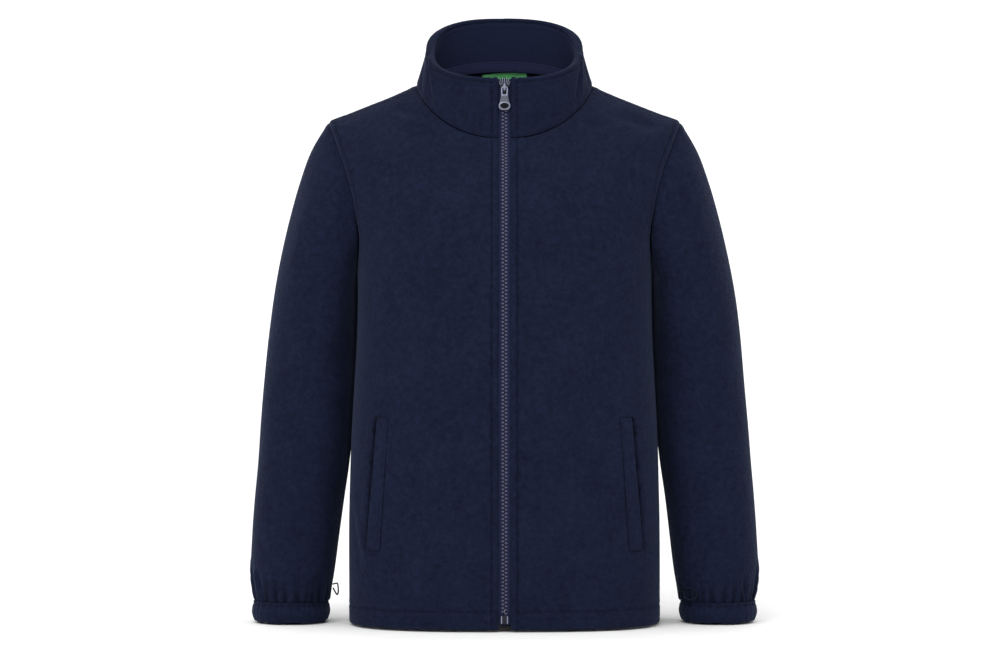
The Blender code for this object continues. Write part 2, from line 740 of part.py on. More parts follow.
def make_pull():
    """The pull: a flat tab with an eye round the bridge's foot, its origin on the hinge's axis."""
    place = zip_frame(SLIDER_Z) @ Matrix.Translation((0, -PULL_AXIS_OUT * MM, PULL_AXIS_UP * MM))
    outline = outline_points(PULL_OUTLINE)
    eye = outline_points(PULL_EYE)
    rings = [(ring_2d, depth) for ring_2d in (outline, eye) for depth in (-0.5, 0.5)]
    points, starts = [], []
    for ring_2d, depth in rings:
        starts.append(len(points))
        points += [(across, depth * PULL_THICK, up) for across, up in ring_2d]
    mesh = bpy.data.meshes.new("pull_tab")
    shape = bmesh.new()
    verts = [shape.verts.new([k * MM for k in point]) for point in points]
    for start, count in ((starts[0], len(outline)), (starts[2], len(eye))):
        for k in range(count):
            after = (k + 1) % count
            corners = (start + k, start + after, start + count + after, start + count + k)
            shape.faces.new([verts[c] for c in corners])
    shape.edges.ensure_lookup_table()
    for side in (0, 1):
        edges = []
        for start, count in ((starts[side], len(outline)), (starts[2 + side], len(eye))):
            for k in range(count):
                pair = (verts[start + k], verts[start + (k + 1) % count])
                edges.append(shape.edges.get(pair))
        bmesh.ops.triangle_fill(shape, use_beauty=True, edges=edges)
    bmesh.ops.recalc_face_normals(shape, faces=shape.faces)
    shape.to_mesh(mesh)
    shape.free()
    link("pull_tab", mesh, METAL).matrix_world = place


def make_zip_box():
    """The retainer box that closes the zip's lower end."""
    middle = (BOX_TOP + BOX_BOTTOM) / 2
    half = (BOX_TOP - BOX_BOTTOM) / 2
    box = ((-BOX_HALF_WIDTH, BOX_HALF_WIDTH), (-TAPE_OUT + SEAM, BOX_OUT), (-half, half))
    box_object("zip_box", (box,), METAL, zip_frame(middle))


def loop_curve(name, points):
    """An elastic loop: a round cord on a smooth curve through its chosen points."""
    chosen = np.array(points)
    steps = np.linspace(0, len(chosen) - 1, LOOP_POINTS)
    padded = np.vstack([2 * chosen[0] - chosen[1], chosen, 2 * chosen[-1] - chosen[-2]])
    first = np.clip(np.floor(steps).astype(int), 0, len(chosen) - 2)
    part = (steps - first)[:, None]
    before, start, end, after = (padded[first + k] for k in range(4))
    path = 0.5 * (
        2 * start
        + (end - before) * part
        + (2 * before - 5 * start + 4 * end - after) * part**2
        + (3 * start - before - 3 * end + after) * part**3
    )
    curve = bpy.data.curves.new(name, "CURVE")
    curve.dimensions = "3D"
    curve.bevel_depth = LOOP_DIAMETER / 2 * MM
    curve.bevel_resolution = 2
    curve.use_fill_caps = True
    curve.resolution_u = 1
    curve.render_resolution_u = 0
    line = curve.splines.new("POLY")
    line.points.add(len(path) - 1)
    for point, place in zip(line.points, path * MM):
        point.co = (*place, 1.0)
    link(name, curve, ELASTIC)


def main():
    clear_scene()
    make_panels()
    make_sleeves()
    make_cuffs()
    make_collar()
    make_neck_tape()
    make_label()
    make_welts()
    make_zip()
    make_slider()
    make_pull()
    make_zip_box()
    loop_curve("cuff_loop_left", LOOP_LEFT)
    loop_curve("cuff_loop_right", LOOP_RIGHT)


if __name__ == "__main__":
    main()
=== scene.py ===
"""A child's fleece zip jacket, filled out as if worn: cloth, zip, stitches and elastic.

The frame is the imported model's: +Z up, the front faces -Y, +X is the wearer's left, and the origin
is the centre of the neck. Forms are worked out in millimetres and put into meshes in metres.

The cloth follows ring tables. A ring goes once round the body, and its plan is a superellipse: at
polar angle "turn" (0 at the +X side, -90 degrees at centre front) the radius r solves
(r cos / half_width)^square + (r sin / depth)^square = 1. Its height runs from side_z at the side to
front_z or back_z at the centre, as the share of the depth reached, to the power "drop".
"""

import math
from collections import namedtuple

import bmesh
import bpy
import numpy as np
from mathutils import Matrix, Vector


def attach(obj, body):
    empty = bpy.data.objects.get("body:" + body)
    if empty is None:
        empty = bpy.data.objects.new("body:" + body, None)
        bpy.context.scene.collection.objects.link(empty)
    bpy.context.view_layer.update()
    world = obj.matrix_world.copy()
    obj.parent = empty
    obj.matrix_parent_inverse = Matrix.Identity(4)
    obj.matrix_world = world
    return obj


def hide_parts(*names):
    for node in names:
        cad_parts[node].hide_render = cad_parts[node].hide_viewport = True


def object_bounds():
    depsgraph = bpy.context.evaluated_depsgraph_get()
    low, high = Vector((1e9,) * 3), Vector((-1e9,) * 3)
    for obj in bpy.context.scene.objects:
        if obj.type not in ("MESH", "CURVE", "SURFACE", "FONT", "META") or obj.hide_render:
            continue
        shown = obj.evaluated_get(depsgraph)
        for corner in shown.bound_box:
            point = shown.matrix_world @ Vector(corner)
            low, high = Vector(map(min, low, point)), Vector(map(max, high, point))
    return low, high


bl_info = {
    "name": "Fleece zip jacket",
    "version": (1, 0, 0),
    "blender": (4, 5, 0),
    "location": "3D View > Sidebar > Jacket",
    "description": "Makes a child's fleece zip jacket with its zip, pockets, cuffs and stitching",
    "category": "Add Mesh",
}

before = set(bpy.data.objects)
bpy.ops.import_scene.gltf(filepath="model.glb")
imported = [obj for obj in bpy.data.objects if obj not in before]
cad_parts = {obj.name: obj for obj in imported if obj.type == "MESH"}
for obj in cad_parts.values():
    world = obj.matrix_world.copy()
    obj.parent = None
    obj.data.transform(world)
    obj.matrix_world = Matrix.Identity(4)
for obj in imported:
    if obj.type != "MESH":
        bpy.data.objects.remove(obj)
CAD_BOX = [list(corner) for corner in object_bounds()]

MM = 0.001

# Cloth, seams and openings, in millimetres.
SEAM = 0.3
FRONT_GAP = 9.8
ARMHOLE_FRONT = 41.0
ARMHOLE_BACK = 45.0
ARMHOLE_CLEAR = 0.35
SIDE_SHARE = 0.5
COLLAR_SPACE = 1.5
COLLAR_START = 0.05
COLLAR_FOLD = 3.8

# Zip, measured inwards from the cloth's outer face.
TAPE_OUT = 2.5
TAPE_IN = 3.3
TAPE_EDGE = 15.0
TAPE_LOW = -431.5
TAPE_HIGH = 1.1
CHAIN_OUT = 1.7
CHAIN_IN = 4.1
CHAIN_HIGH = -6.4
BOX_TOP = -423.8
BOX_BOTTOM = -430.4
SLIDER_Z = -4.4
PULL_AXIS_OUT = 0.9
PULL_AXIS_UP = -1.2

# Slider, pull and box: "out" and "up" in the zip's own frame, or from the pull's axis.
SLIDER_HALF = 5.6
FRONT_PLATE = (-1.4, -0.35)
BACK_PLATE = (-5.6, -4.4)
WEDGE = (-4.9, -0.9)
FLUTES = 5
EYE_HALF_WIDTH = 2.2
EYE_HALF_HEIGHT = 3.45
EYE_CENTRE = -3.5
GRIP_CENTRE = -12.75
GRIP_HALF = 6.25
GRIP_HALF_WIDTHS = (
    (-19.0, 2.6),
    (-18.4, 3.7),
    (-17.0, 4.5),
    (-14.6, 4.65),
    (-11.5, 3.6),
    (-8.0, 2.95),
    (-6.5, 2.7),
)
RECESS_CENTRE = -15.5
RECESS_HALF_WIDTH = 3.5
RECESS_HALF_HEIGHT = 2.3
BOX_PLATE = (-2.2, -0.75)
BOX_HALF_WIDTH = 3.2
POST_AT = 2.35

# Stitches, and the bartack: its bars' count, the first one's place and the step to the next.
STITCH_SINK = 0.1
BARTACK_BARS = 7
BARTACK_AT = 11.6
BARTACK_STEP = 0.75
BARTACK_Z = -426.0
BARTACK_LENGTH = 3.6
BARTACK_THREAD = 0.62

# Pocket welts, neck tape and label.
WELT_TOP_Z = -269.0
WELT_BOTTOM_Z = -374.0
WELT_TOP_X = 100.5
WELT_BOTTOM_X = 109.5
WELT_WIDTH_TOP = 8.6
WELT_WIDTH_BOTTOM = 10.6
WELT_THICK = 1.2
WELT_LENGTH = 105.4
WELT_MIDDLE_WIDTH = 9.6
WELT_SEWN_AT = 8.1
WELT_END_STITCHES = (2.4, 103.0)
NECK_TAPE_OUT = 6.2
NECK_TAPE_IN = 7.0
LABEL_HALF_WIDTH = 19.0
LABEL_TOP_Z = 15.9
LABEL_SLOPE = 0.06
LABEL_HEIGHT = 30.0
LABEL_THICK = 0.8

# How the cloth is divided: the step for slopes, and nominal lengths that grid lines are set on.
STEP = 0.002
PANEL_WIDTH = 150.0
COLLAR_LENGTH = 340.0
SLEEVE_ROUND = 200.0
CUFF_COLUMNS = 216

# Stage, in metres and degrees.
FLOOR_REACH = 6.0
KEY_SIZE = (1.8, 1.2)
KEY_PLACE = (-0.7, -1.9, 1.5)
KEY_TURN = (50.0, 0.0, -20.0)
CAMERA_X = -0.0004
FILM_WIDTH = 36.0

BodyRow = namedtuple("BodyRow", "half_width side_z front front_z back back_z square drop")
BODY_ROWS = (
    BodyRow(125.8, -435.0, 88.0, -435.0, 86.0, -435.0, 2.80, 1.8),  # hem
    BodyRow(125.9, -388.0, 88.6, -388.0, 86.3, -388.0, 2.80, 1.8),
    BodyRow(125.8, -341.5, 89.0, -341.5, 86.4, -341.5, 2.80, 1.8),
    BodyRow(124.6, -295.0, 89.2, -295.0, 86.3, -295.0, 2.82, 1.8),  # waist
    BodyRow(122.0, -248.5, 89.1, -248.5, 86.2, -248.0, 2.85, 1.8),
    BodyRow(119.9, -202.0, 88.7, -202.0, 86.2, -201.0, 2.88, 1.8),
    BodyRow(119.5, -155.0, 88.0, -156.0, 86.2, -154.0, 2.90, 1.8),  # under the arm
    BodyRow(119.6, -147.0, 87.8, -149.5, 86.2, -147.0, 2.88, 1.8),
    BodyRow(121.2, -124.0, 87.1, -133.0, 86.0, -127.0, 2.75, 1.8),
    BodyRow(132.2, -92.5, 85.2, -112.0, 85.0, -98.0, 2.32, 1.8),
    BodyRow(142.0, -61.0, 81.8, -94.0, 82.5, -70.0, 2.02, 1.8),
    BodyRow(144.8, -38.5, 78.0, -82.0, 79.3, -51.5, 1.88, 1.8),
    BodyRow(142.8, -30.0, 75.6, -76.0, 77.0, -44.0, 1.82, 1.8),  # shoulder tip
    BodyRow(125.0, -22.7, 72.2, -69.0, 71.3, -30.0, 1.88, 1.75),
    BodyRow(107.2, -15.3, 68.5, -61.7, 65.0, -14.5, 1.98, 1.7),
    BodyRow(89.4, -8.0, 64.4, -54.4, 58.0, 1.5, 2.09, 1.6),
    BodyRow(71.7, -0.5, 60.0, -47.0, 51.0, 18.0, 2.20, 1.5),  # neck seam
)
ARMPIT = 6
TIP = 12
NECK = 16
HOLE_STEPS = 64

COLLAR_ROWS = (
    BODY_ROWS[NECK],
    BodyRow(69.6, 8.0, 58.6, -34.7, 51.0, 29.0, 2.25, 1.35),
    BodyRow(67.0, 16.5, 57.3, -22.5, 50.8, 39.5, 2.35, 1.20),
    BodyRow(64.6, 24.5, 56.1, -10.0, 50.4, 50.0, 2.45, 1.10),
    BodyRow(63.3, 31.0, 55.0, 2.0, 50.0, 60.0, 2.50, 1.00),  # rim
)
RIM = 4

SleeveRow = namedtuple(
    "SleeveRow", "outer_x outer_z inner_x inner_z centre_y half_depth square"
)
SLEEVE_ROWS = (
    SleeveRow(149.0, -39.0, 120.2, -158.5, 3.0, 45.5, 2.15),
    SleeveRow(157.5, -54.0, 120.3, -163.0, 4.5, 48.5, 2.15),
    SleeveRow(166.5, -78.0, 120.4, -169.0, 6.5, 50.5, 2.20),
    SleeveRow(174.5, -105.0, 120.5, -178.0, 8.5, 51.0, 2.20),
    SleeveRow(181.5, -134.0, 120.6, -190.0, 10.0, 50.0, 2.25),
    SleeveRow(187.5, -165.0, 120.8, -205.0, 11.5, 48.5, 2.25),
    SleeveRow(192.0, -198.0, 121.6, -224.0, 12.5, 46.5, 2.25),
    SleeveRow(196.0, -238.0, 122.9, -250.0, 13.0, 44.0, 2.30),  # elbow
    SleeveRow(199.3, -275.0, 124.6, -280.0, 12.5, 42.0, 2.30),
    SleeveRow(201.6, -307.0, 127.6, -309.0, 11.0, 40.5, 2.30),
    SleeveRow(204.0, -335.0, 131.2, -335.0, 9.0, 39.0, 2.30),
    SleeveRow(206.0, -366.0, 135.0, -366.0, 6.5, 37.5, 2.30),
    SleeveRow(206.8, -392.0, 138.2, -392.0, 4.5, 36.0, 2.30),
    SleeveRow(205.6, -408.0, 140.6, -408.0, 3.5, 34.5, 2.30),
    SleeveRow(204.2, -418.8, 142.3, -418.8, 3.0, 33.2, 2.30),  # casing's stitch line
)
ARMHOLE_FLAT = SleeveRow(143.1, -30.0, 119.8, -155.0, 2.0, 43.0, 2.0)
HEAD_FADE = (0.8, 0.55, 0.32, 0.14, 0.04)

CuffRow = namedtuple("CuffRow", "inset height")
CUFF_ROWS = (
    CuffRow(0.8, -419.1),
    CuffRow(0.0, -424.0),
    CuffRow(0.0, -431.0),
    CuffRow(1.2, -434.4),
    CuffRow(2.6, -435.6),
    CuffRow(4.2, -434.2),
    CuffRow(5.2, -430.0),
    CuffRow(5.2, -419.1),
)
CUFF_OUTER_X = 205.2
CUFF_INNER_X = 142.9
CUFF_CENTRE_Y = 3.0
CUFF_HALF_DEPTH = 33.8
CUFF_STITCH_Z = -421.6

# Elastic loops at the cuffs: points chosen along each one, from the seam under the arm and back.
LOOP_DIAMETER = 1.2
LOOP_LEFT = (
    (141.0, -8.0, -409.2),
    (142.2, -12.2, -408.8),
    (144.3, -16.9, -408.4),
    (147.5, -21.5, -407.4),
    (150.6, -24.6, -407.6),
    (153.7, -27.0, -409.2),
    (155.2, -27.9, -412.0),
    (153.9, -27.2, -415.0),
    (150.8, -24.8, -416.8),
    (147.4, -21.5, -416.3),
    (145.3, -18.5, -413.8),
    (144.4, -17.1, -411.0),
    (142.4, -12.6, -410.6),
    (141.1, -8.2, -410.9),
)
LOOP_RIGHT = (
    (-140.0, 2.4, -406.4),
    (-137.8, 0.2, -405.6),
    (-136.2, -3.6, -405.2),
    (-135.4, -8.0, -405.9),
    (-134.9, -11.0, -408.2),
    (-134.8, -11.6, -410.9),
    (-135.3, -9.6, -413.2),
    (-136.4, -5.4, -414.0),
    (-137.9, -1.0, -412.4),
    (-139.8, 2.4, -409.6),
)

# Creases: a soft ridge (height above 0) or trough (below 0) on a curve through a start, a bend and
# an end. "across" and "up" are x and z on the fronts and back. On a sleeve "across" runs round it,
# 0 on the arm's outside, 50 at the front, 100 under the arm and 150 behind. On the collar it runs
# round from centre front, with "up" the distance above the neck seam.
Crease = namedtuple(
    "Crease", "start_across start_up bend_across bend_up end_across end_up width height"
)
FRONT_LEFT_CREASES = (
    Crease(60.0, -32.0, 74.0, -28.0, 90.0, -23.0, 4.5, 1.0),
    Crease(78.0, -25.0, 104.0, -27.0, 129.0, -41.0, 5.0, -1.7),
    Crease(76.0, -55.0, 108.0, -50.0, 138.0, -38.0, 6.5, 1.2),
    Crease(84.0, -66.0, 106.0, -64.0, 128.0, -58.0, 8.0, -0.9),
    Crease(58.0, -44.0, 66.0, -38.0, 80.0, -35.0, 3.5, -0.7),
    Crease(30.0, -150.0, 62.0, -166.0, 104.0, -160.0, 16.0, 0.7),
    Crease(26.0, -206.0, 60.0, -214.0, 98.0, -232.0, 18.0, -0.8),
    Crease(112.0, -250.0, 108.0, -300.0, 119.0, -360.0, 6.0, 0.7),
    Crease(52.0, -340.0, 60.0, -376.0, 55.0, -416.0, 12.0, -0.6),
    Crease(84.0, -392.0, 90.0, -404.0, 88.0, -420.0, 6.0, -0.6),
    Crease(12.0, -404.0, 13.5, -412.0, 12.5, -424.0, 1.8, -0.9),
    Crease(17.0, -401.0, 17.5, -412.0, 16.5, -425.0, 1.8, 0.7),
    Crease(22.0, -406.0, 21.5, -414.0, 22.0, -424.0, 1.8, -0.7),
)
FRONT_RIGHT_CREASES = (
    Crease(92.0, -20.0, 74.0, -24.0, 56.0, -29.0, 4.0, -1.5),
    Crease(92.0, -25.0, 76.0, -34.0, 57.0, -38.5, 3.2, 1.3),
    Crease(86.0, -38.0, 72.0, -46.0, 52.0, -47.0, 5.0, -0.8),
    Crease(112.0, -36.0, 124.0, -40.0, 136.0, -50.0, 5.0, -0.9),
    Crease(70.0, -62.0, 98.0, -56.0, 128.0, -66.0, 9.0, 0.9),
    Crease(24.0, -168.0, 60.0, -176.0, 100.0, -196.0, 17.0, -0.7),
    Crease(34.0, -238.0, 66.0, -226.0, 106.0, -230.0, 15.0, 0.7),
    Crease(121.0, -316.0, 119.0, -348.0, 109.0, -384.0, 2.6, 1.0),
    Crease(122.0, -334.0, 120.0, -362.0, 113.0, -394.0, 2.6, -0.9),
    Crease(46.0, -330.0, 54.0, -368.0, 48.0, -410.0, 13.0, 0.6),
    Crease(92.0, -388.0, 86.0, -402.0, 90.0, -420.0, 6.0, -0.7),
    Crease(20.0, -404.0, 18.5, -413.0, 19.0, -423.0, 2.0, -0.6),
)
BACK_CREASES = (
    Crease(-132.0, -52.0, -104.0, -62.0, -72.0, -58.0, 8.0, 1.1),
    Crease(-128.0, -70.0, -100.0, -82.0, -66.0, -80.0, 9.0, -1.2),
    Crease(134.0, -56.0, 102.0, -70.0, 62.0, -64.0, 9.0, 1.2),
    Crease(126.0, -78.0, 98.0, -92.0, 60.0, -94.0, 10.0, -1.1),
    Crease(-112.0, -140.0, -70.0, -172.0, -16.0, -184.0, 12.0, -1.6),
    Crease(-110.0, -158.0, -74.0, -196.0, -28.0, -214.0, 11.0, 1.4),
    Crease(114.0, -146.0, 78.0, -186.0, 22.0, -204.0, 13.0, -1.5),
    Crease(112.0, -170.0, 82.0, -214.0, 36.0, -240.0, 11.0, 1.2),
    Crease(-92.0, -262.0, -20.0, -278.0, 58.0, -262.0, 14.0, -1.7),
    Crease(-64.0, -296.0, 12.0, -308.0, 90.0, -288.0, 12.0, 1.3),
    Crease(-104.0, -318.0, -92.0, -360.0, -98.0, -412.0, 9.0, -1.0),
    Crease(-48.0, -352.0, -40.0, -386.0, -46.0, -418.0, 11.0, 0.8),
    Crease(36.0, -346.0, 30.0, -384.0, 38.0, -418.0, 12.0, -0.8),
    Crease(98.0, -322.0, 106.0, -366.0, 100.0, -414.0, 9.0, 1.0),
)
SLEEVE_LEFT_CREASES = (
    Crease(30.0, -92.0, 33.0, -120.0, 36.0, -152.0, 5.0, 0.9),
    Crease(44.0, -84.0, 46.0, -108.0, 54.0, -136.0, 6.0, -0.8),
    Crease(68.0, -226.0, 78.0, -240.0, 95.0, -236.0, 7.0, -1.4),
    Crease(62.0, -252.0, 76.0, -262.0, 95.0, -262.0, 7.0, 1.2),
    Crease(16.0, -236.0, 30.0, -262.0, 56.0, -286.0, 10.0, -0.9),
    Crease(24.0, -300.0, 40.0, -324.0, 68.0, -336.0, 11.0, 0.8),
    Crease(108.0, -232.0, 128.0, -222.0, 150.0, -232.0, 9.0, -1.7),
    Crease(110.0, -258.0, 130.0, -250.0, 154.0, -262.0, 8.0, 1.4),
    Crease(150.0, -120.0, 160.0, -150.0, 168.0, -188.0, 9.0, -1.1),
    Crease(126.0, -300.0, 142.0, -326.0, 150.0, -366.0, 9.0, -1.1),
    Crease(5.0, -384.0, 7.5, -402.0, 12.0, -421.0, 1.7, 1.8),
    Crease(9.0, -390.0, 11.5, -406.0, 16.0, -421.0, 2.0, -2.0),
    Crease(32.0, -398.0, 30.0, -408.0, 25.0, -421.0, 1.6, -1.5),
    Crease(35.5, -396.0, 33.5, -408.0, 28.5, -421.0, 1.5, 1.1),
    Crease(47.0, -400.0, 49.0, -410.0, 48.0, -421.0, 1.8, -1.2),
    Crease(66.0, -398.0, 64.0, -410.0, 66.0, -421.0, 1.8, -1.1),
    Crease(124.0, -394.0, 126.0, -408.0, 124.0, -421.0, 2.0, -1.4),
    Crease(158.0, -396.0, 155.0, -408.0, 158.0, -421.0, 2.0, -1.4),
)
SLEEVE_RIGHT_CREASES = (
    Crease(26.0, -96.0, 30.0, -124.0, 30.0, -158.0, 6.0, 0.7),
    Crease(48.0, -88.0, 50.0, -112.0, 58.0, -134.0, 5.0, -0.8),
    Crease(66.0, -218.0, 80.0, -228.0, 96.0, -222.0, 6.0, -1.3),
    Crease(60.0, -244.0, 78.0, -250.0, 95.0, -246.0, 7.0, 1.2),
    Crease(20.0, -226.0, 34.0, -256.0, 54.0, -272.0, 10.0, -0.9),
    Crease(30.0, -312.0, 44.0, -330.0, 72.0, -336.0, 12.0, 0.7),
    Crease(106.0, -226.0, 126.0, -216.0, 148.0, -222.0, 9.0, -1.7),
    Crease(112.0, -250.0, 132.0, -244.0, 156.0, -252.0, 8.0, 1.3),
    Crease(152.0, -112.0, 160.0, -146.0, 166.0, -182.0, 9.0, -1.0),
    Crease(132.0, -306.0, 140.0, -334.0, 150.0, -372.0, 9.0, -1.0),
    Crease(17.0, -392.0, 21.0, -404.0, 24.0, -421.0, 1.6, 1.8),
    Crease(22.0, -392.0, 25.5, -405.0, 28.0, -421.0, 1.8, -1.9),
    Crease(4.0, -384.0, 8.0, -398.0, 10.5, -421.0, 1.7, 1.5),
    Crease(8.0, -388.0, 12.0, -402.0, 14.0, -421.0, 1.8, -1.7),
    Crease(43.0, -400.0, 41.0, -410.0, 42.0, -421.0, 1.8, -1.2),
    Crease(58.0, -398.0, 60.0, -408.0, 58.0, -421.0, 1.8, -1.1),
    Crease(80.0, -396.0, 78.0, -408.0, 80.0, -421.0, 1.7, 1.1),
    Crease(128.0, -396.0, 126.0, -408.0, 128.0, -421.0, 2.0, -1.4),
    Crease(160.0, -394.0, 157.0, -408.0, 158.0, -421.0, 2.0, -1.3),
)
COLLAR_CREASES = (
    Crease(-86.0, 34.0, -72.0, 22.0, -64.0, 3.0, 3.2, -1.8),
    Crease(-80.0, 37.0, -66.0, 24.0, -56.0, 6.0, 3.0, 1.2),
    Crease(-104.0, 24.0, -92.0, 14.0, -84.0, 2.0, 3.6, -1.2),
    Crease(83.0, 38.0, 75.0, 22.0, 72.0, 4.0, 3.0, 1.6),
    Crease(78.0, 30.0, 68.0, 16.0, 60.0, 3.0, 3.0, -1.9),
    Crease(100.0, 30.0, 93.0, 18.0, 92.0, 4.0, 3.6, -1.3),
    Crease(-158.0, 28.0, -140.0, 16.0, -128.0, 4.0, 5.0, -1.0),
    Crease(128.0, 30.0, 136.0, 18.0, 150.0, 6.0, 5.0, 0.9),
    Crease(-30.0, 40.0, -34.0, 24.0, -28.0, 8.0, 5.0, -0.5),
    Crease(36.0, 38.0, 32.0, 24.0, 38.0, 8.0, 5.0, 0.5),
)


# Sizes and colours that a user may change -------------------------------------------------------


def length(name, description, default):
    """A size in metres, shown in the scene's own unit."""
    return bpy.props.FloatProperty(
        name=name, description=description, default=default, min=0.0, unit="LENGTH", precision=5
    )


def colour(name, description, default):
    """A colour, given in linear light."""
    return bpy.props.FloatVectorProperty(
        name=name, description=description, default=default, size=3, min=0, max=1, subtype="COLOR"
    )


class JacketSizes(bpy.types.PropertyGroup):
    """Cloth thickness, and where the rows of stitches run."""

    cloth: length("Cloth", "Thickness of the fleece", 0.0022)
    zip_stitch: length("Zip stitch", "From the folded front edge to its stitches", 0.0051)
    hem_stitch: length("Hem stitch", "From the hem's fold to its stitches", 0.0136)
    armhole_stitch: length("Armhole stitch", "From the armhole seam to its stitches", 0.0062)
    shoulder_stitch: length("Shoulder stitch", "From the shoulder seam to its stitches", 0.0115)
    collar_stitch: length("Collar stitch", "From the collar's fold to its stitches", 0.0056)
    stitch_pitch: length("Stitch pitch", "From one stitch to the next", 0.0034)
    stitch_length: length("Stitch length", "Thread that shows in one stitch", 0.0025)
    thread: length("Thread", "Thickness of the sewing thread", 0.00042)
    tooth_pitch: length("Tooth pitch", "From one zip tooth to the next on the same side", 0.00292)


class JacketColours(bpy.types.PropertyGroup):
    """Base colours of the cloth, thread, label and zip."""

    fleece_deep: colour("Fleece, deep", "The fleece between its tufts", (0.0044, 0.0064, 0.0172))
    fleece_light: colour("Fleece, light", "The tips of the nap", (0.0085, 0.0121, 0.0312))
    thread: colour("Thread", "The sewing thread", (0.0035, 0.0050, 0.0140))
    tape: colour("Tape", "The zip's tape and the neck tape", (0.0105, 0.0135, 0.0430))
    label: colour("Label", "The neck label", (0.24, 0.93, 0.34))
    teeth: colour("Teeth", "The zip's moulded teeth", (0.037, 0.038, 0.076))
    metal: colour("Metal", "The slider, the pull and the box", (0.046, 0.050, 0.073))
    elastic: colour("Elastic", "The loops at the cuffs", (0.006, 0.008, 0.021))


class JacketStage(bpy.types.PropertyGroup):
    """The camera, the floor and the light round the jacket."""

    camera_distance: length("Camera distance", "From the camera to the zip's plane", 2.4)
    camera_height: bpy.props.FloatProperty(
        name="Camera height",
        description="Height of the level camera, from the neck's centre",
        default=-0.204,
        unit="LENGTH",
    )
    lens: bpy.props.FloatProperty(
        name="Lens", description="Focal length on a 36 mm wide film", default=105.17, unit="CAMERA"
    )
    floor_gap: length("Floor gap", "From the lowest cloth down to the floor", 0.0014)
    sky: bpy.props.FloatProperty(
        name="Sky", description="Strength of the even white light all round", default=1.22, min=0
    )
    key: bpy.props.FloatProperty(
        name="Key light", description="Power of the large soft light", default=28.0, unit="POWER"
    )


# Rings, rows and places along them --------------------------------------------------------------


def knots(table):
    """Distance along a table, row by row, from the change of height at the side and the front."""
    heights = np.array([(row.side_z, row.front_z) for row in table])
    return np.concatenate([[0.0], np.cumsum(np.hypot(*np.diff(heights, axis=0).T))])


def cubic(rows, places, at):
    """Rows at any station: a cubic between two rows, its slope at a row from both sides."""
    slopes = np.gradient(rows, places, axis=0)
    first = np.clip(np.floor(at).astype(int), 0, len(rows) - 2)
    shape = (-1,) + (1,) * (rows.ndim - 1)
    part, span = (at - first).reshape(shape), np.diff(places)[first].reshape(shape)
    return (
        rows[first] * (1 + 2 * part) * (1 - part) ** 2
        + slopes[first] * span * part * (1 - part) ** 2
        + rows[first + 1] * part**2 * (3 - 2 * part)
        + slopes[first + 1] * span * part**2 * (part - 1)
    )


def smooth_rows(table, at):
    """A ring table's columns, each read by the cubic at the stations."""
    read = cubic(np.array(table, float), knots(table), np.asarray(at, float))
    return BodyRow(*(column[:, None] for column in read.T))


def body_rows(at):
    """Body rows at any station from the hem, 0, to the neck seam."""
    return smooth_rows(BODY_ROWS, at)


def collar_rows(at):
    """Collar rows at any station from the neck seam, 0, to the rim."""
    return smooth_rows(COLLAR_ROWS, at)


def ring(rows, turn):
    """Points of the rings at polar angles "turn": superellipse in plan, height by depth."""
    across, along = np.abs(np.cos(turn)), np.abs(np.sin(turn))
    front = np.sin(turn) < 0
    depth = np.where(front, rows.front, rows.back)
    centre_z = np.where(front, rows.front_z, rows.back_z)
    radius = ((across / rows.half_width) ** rows.square + (along / depth) ** rows.square) ** (
        -1 / rows.square
    )
    reach = radius * along / depth
    height = rows.side_z + (centre_z - rows.side_z) * reach**rows.drop
    return np.stack([radius * np.cos(turn), radius * np.sin(turn), height], axis=-1)


def turn_at_width(rows, width):
    """Polar angle, on the front of the +X side, at a distance from the centre line."""
    reach = rows.front * (1 - (width / rows.half_width) ** rows.square) ** (1 / rows.square)
    return -np.arctan2(reach, width)


def turn_at_reach(rows, reach, depth):
    """Polar angle, taken as positive, at a distance forwards or backwards from the side."""
    width = rows.half_width * (1 - (reach / depth) ** rows.square) ** (1 / rows.square)
    return np.arctan2(reach, width)


def surface(rows_of, stations, turn):
    """Points and outward unit normals at stations and polar angles, by central differences."""
    around = ring(rows_of(stations), turn + STEP) - ring(rows_of(stations), turn - STEP)
    upward = ring(rows_of(stations + STEP), turn) - ring(rows_of(stations - STEP), turn)
    return ring(rows_of(stations), turn), unit(np.cross(around, upward))


def unit(vectors):
    """Vectors of length 1 along the given ones."""
    return vectors / np.linalg.norm(vectors, axis=-1, keepdims=True)


def graded(whole, fine, coarse, low=True, high=True, reach=14.0):
    """Places along a length: "fine" steps at the chosen ends that grow to "coarse" ones."""
    at = np.linspace(0, whole, 2400)
    gap = np.full_like(at, reach)
    if low:
        gap = np.minimum(gap, at)
    if high:
        gap = np.minimum(gap, whole - at)
    step = fine + (coarse - fine) * gap / reach
    count = np.concatenate([[0.0], np.cumsum(np.diff(at) / step[1:])])
    return np.interp(np.linspace(0, count[-1], int(np.ceil(count[-1])) + 1), count, at)


def read_at(places, run, columns):
    """Points or normals along a path, read at places on its run."""
    return np.stack([np.interp(places, run, column) for column in columns.T], axis=-1)


def run_along(points, axis, from_end=False):
    """Distance along a grid's lines from their start, or from their end."""
    steps = np.linalg.norm(np.diff(points, axis=axis), axis=-1)
    start = np.zeros_like(np.take(steps, [0], axis))
    run = np.concatenate([start, np.cumsum(steps, axis=axis)], axis=axis)
    return np.take(run, [-1], axis) - run if from_end else run


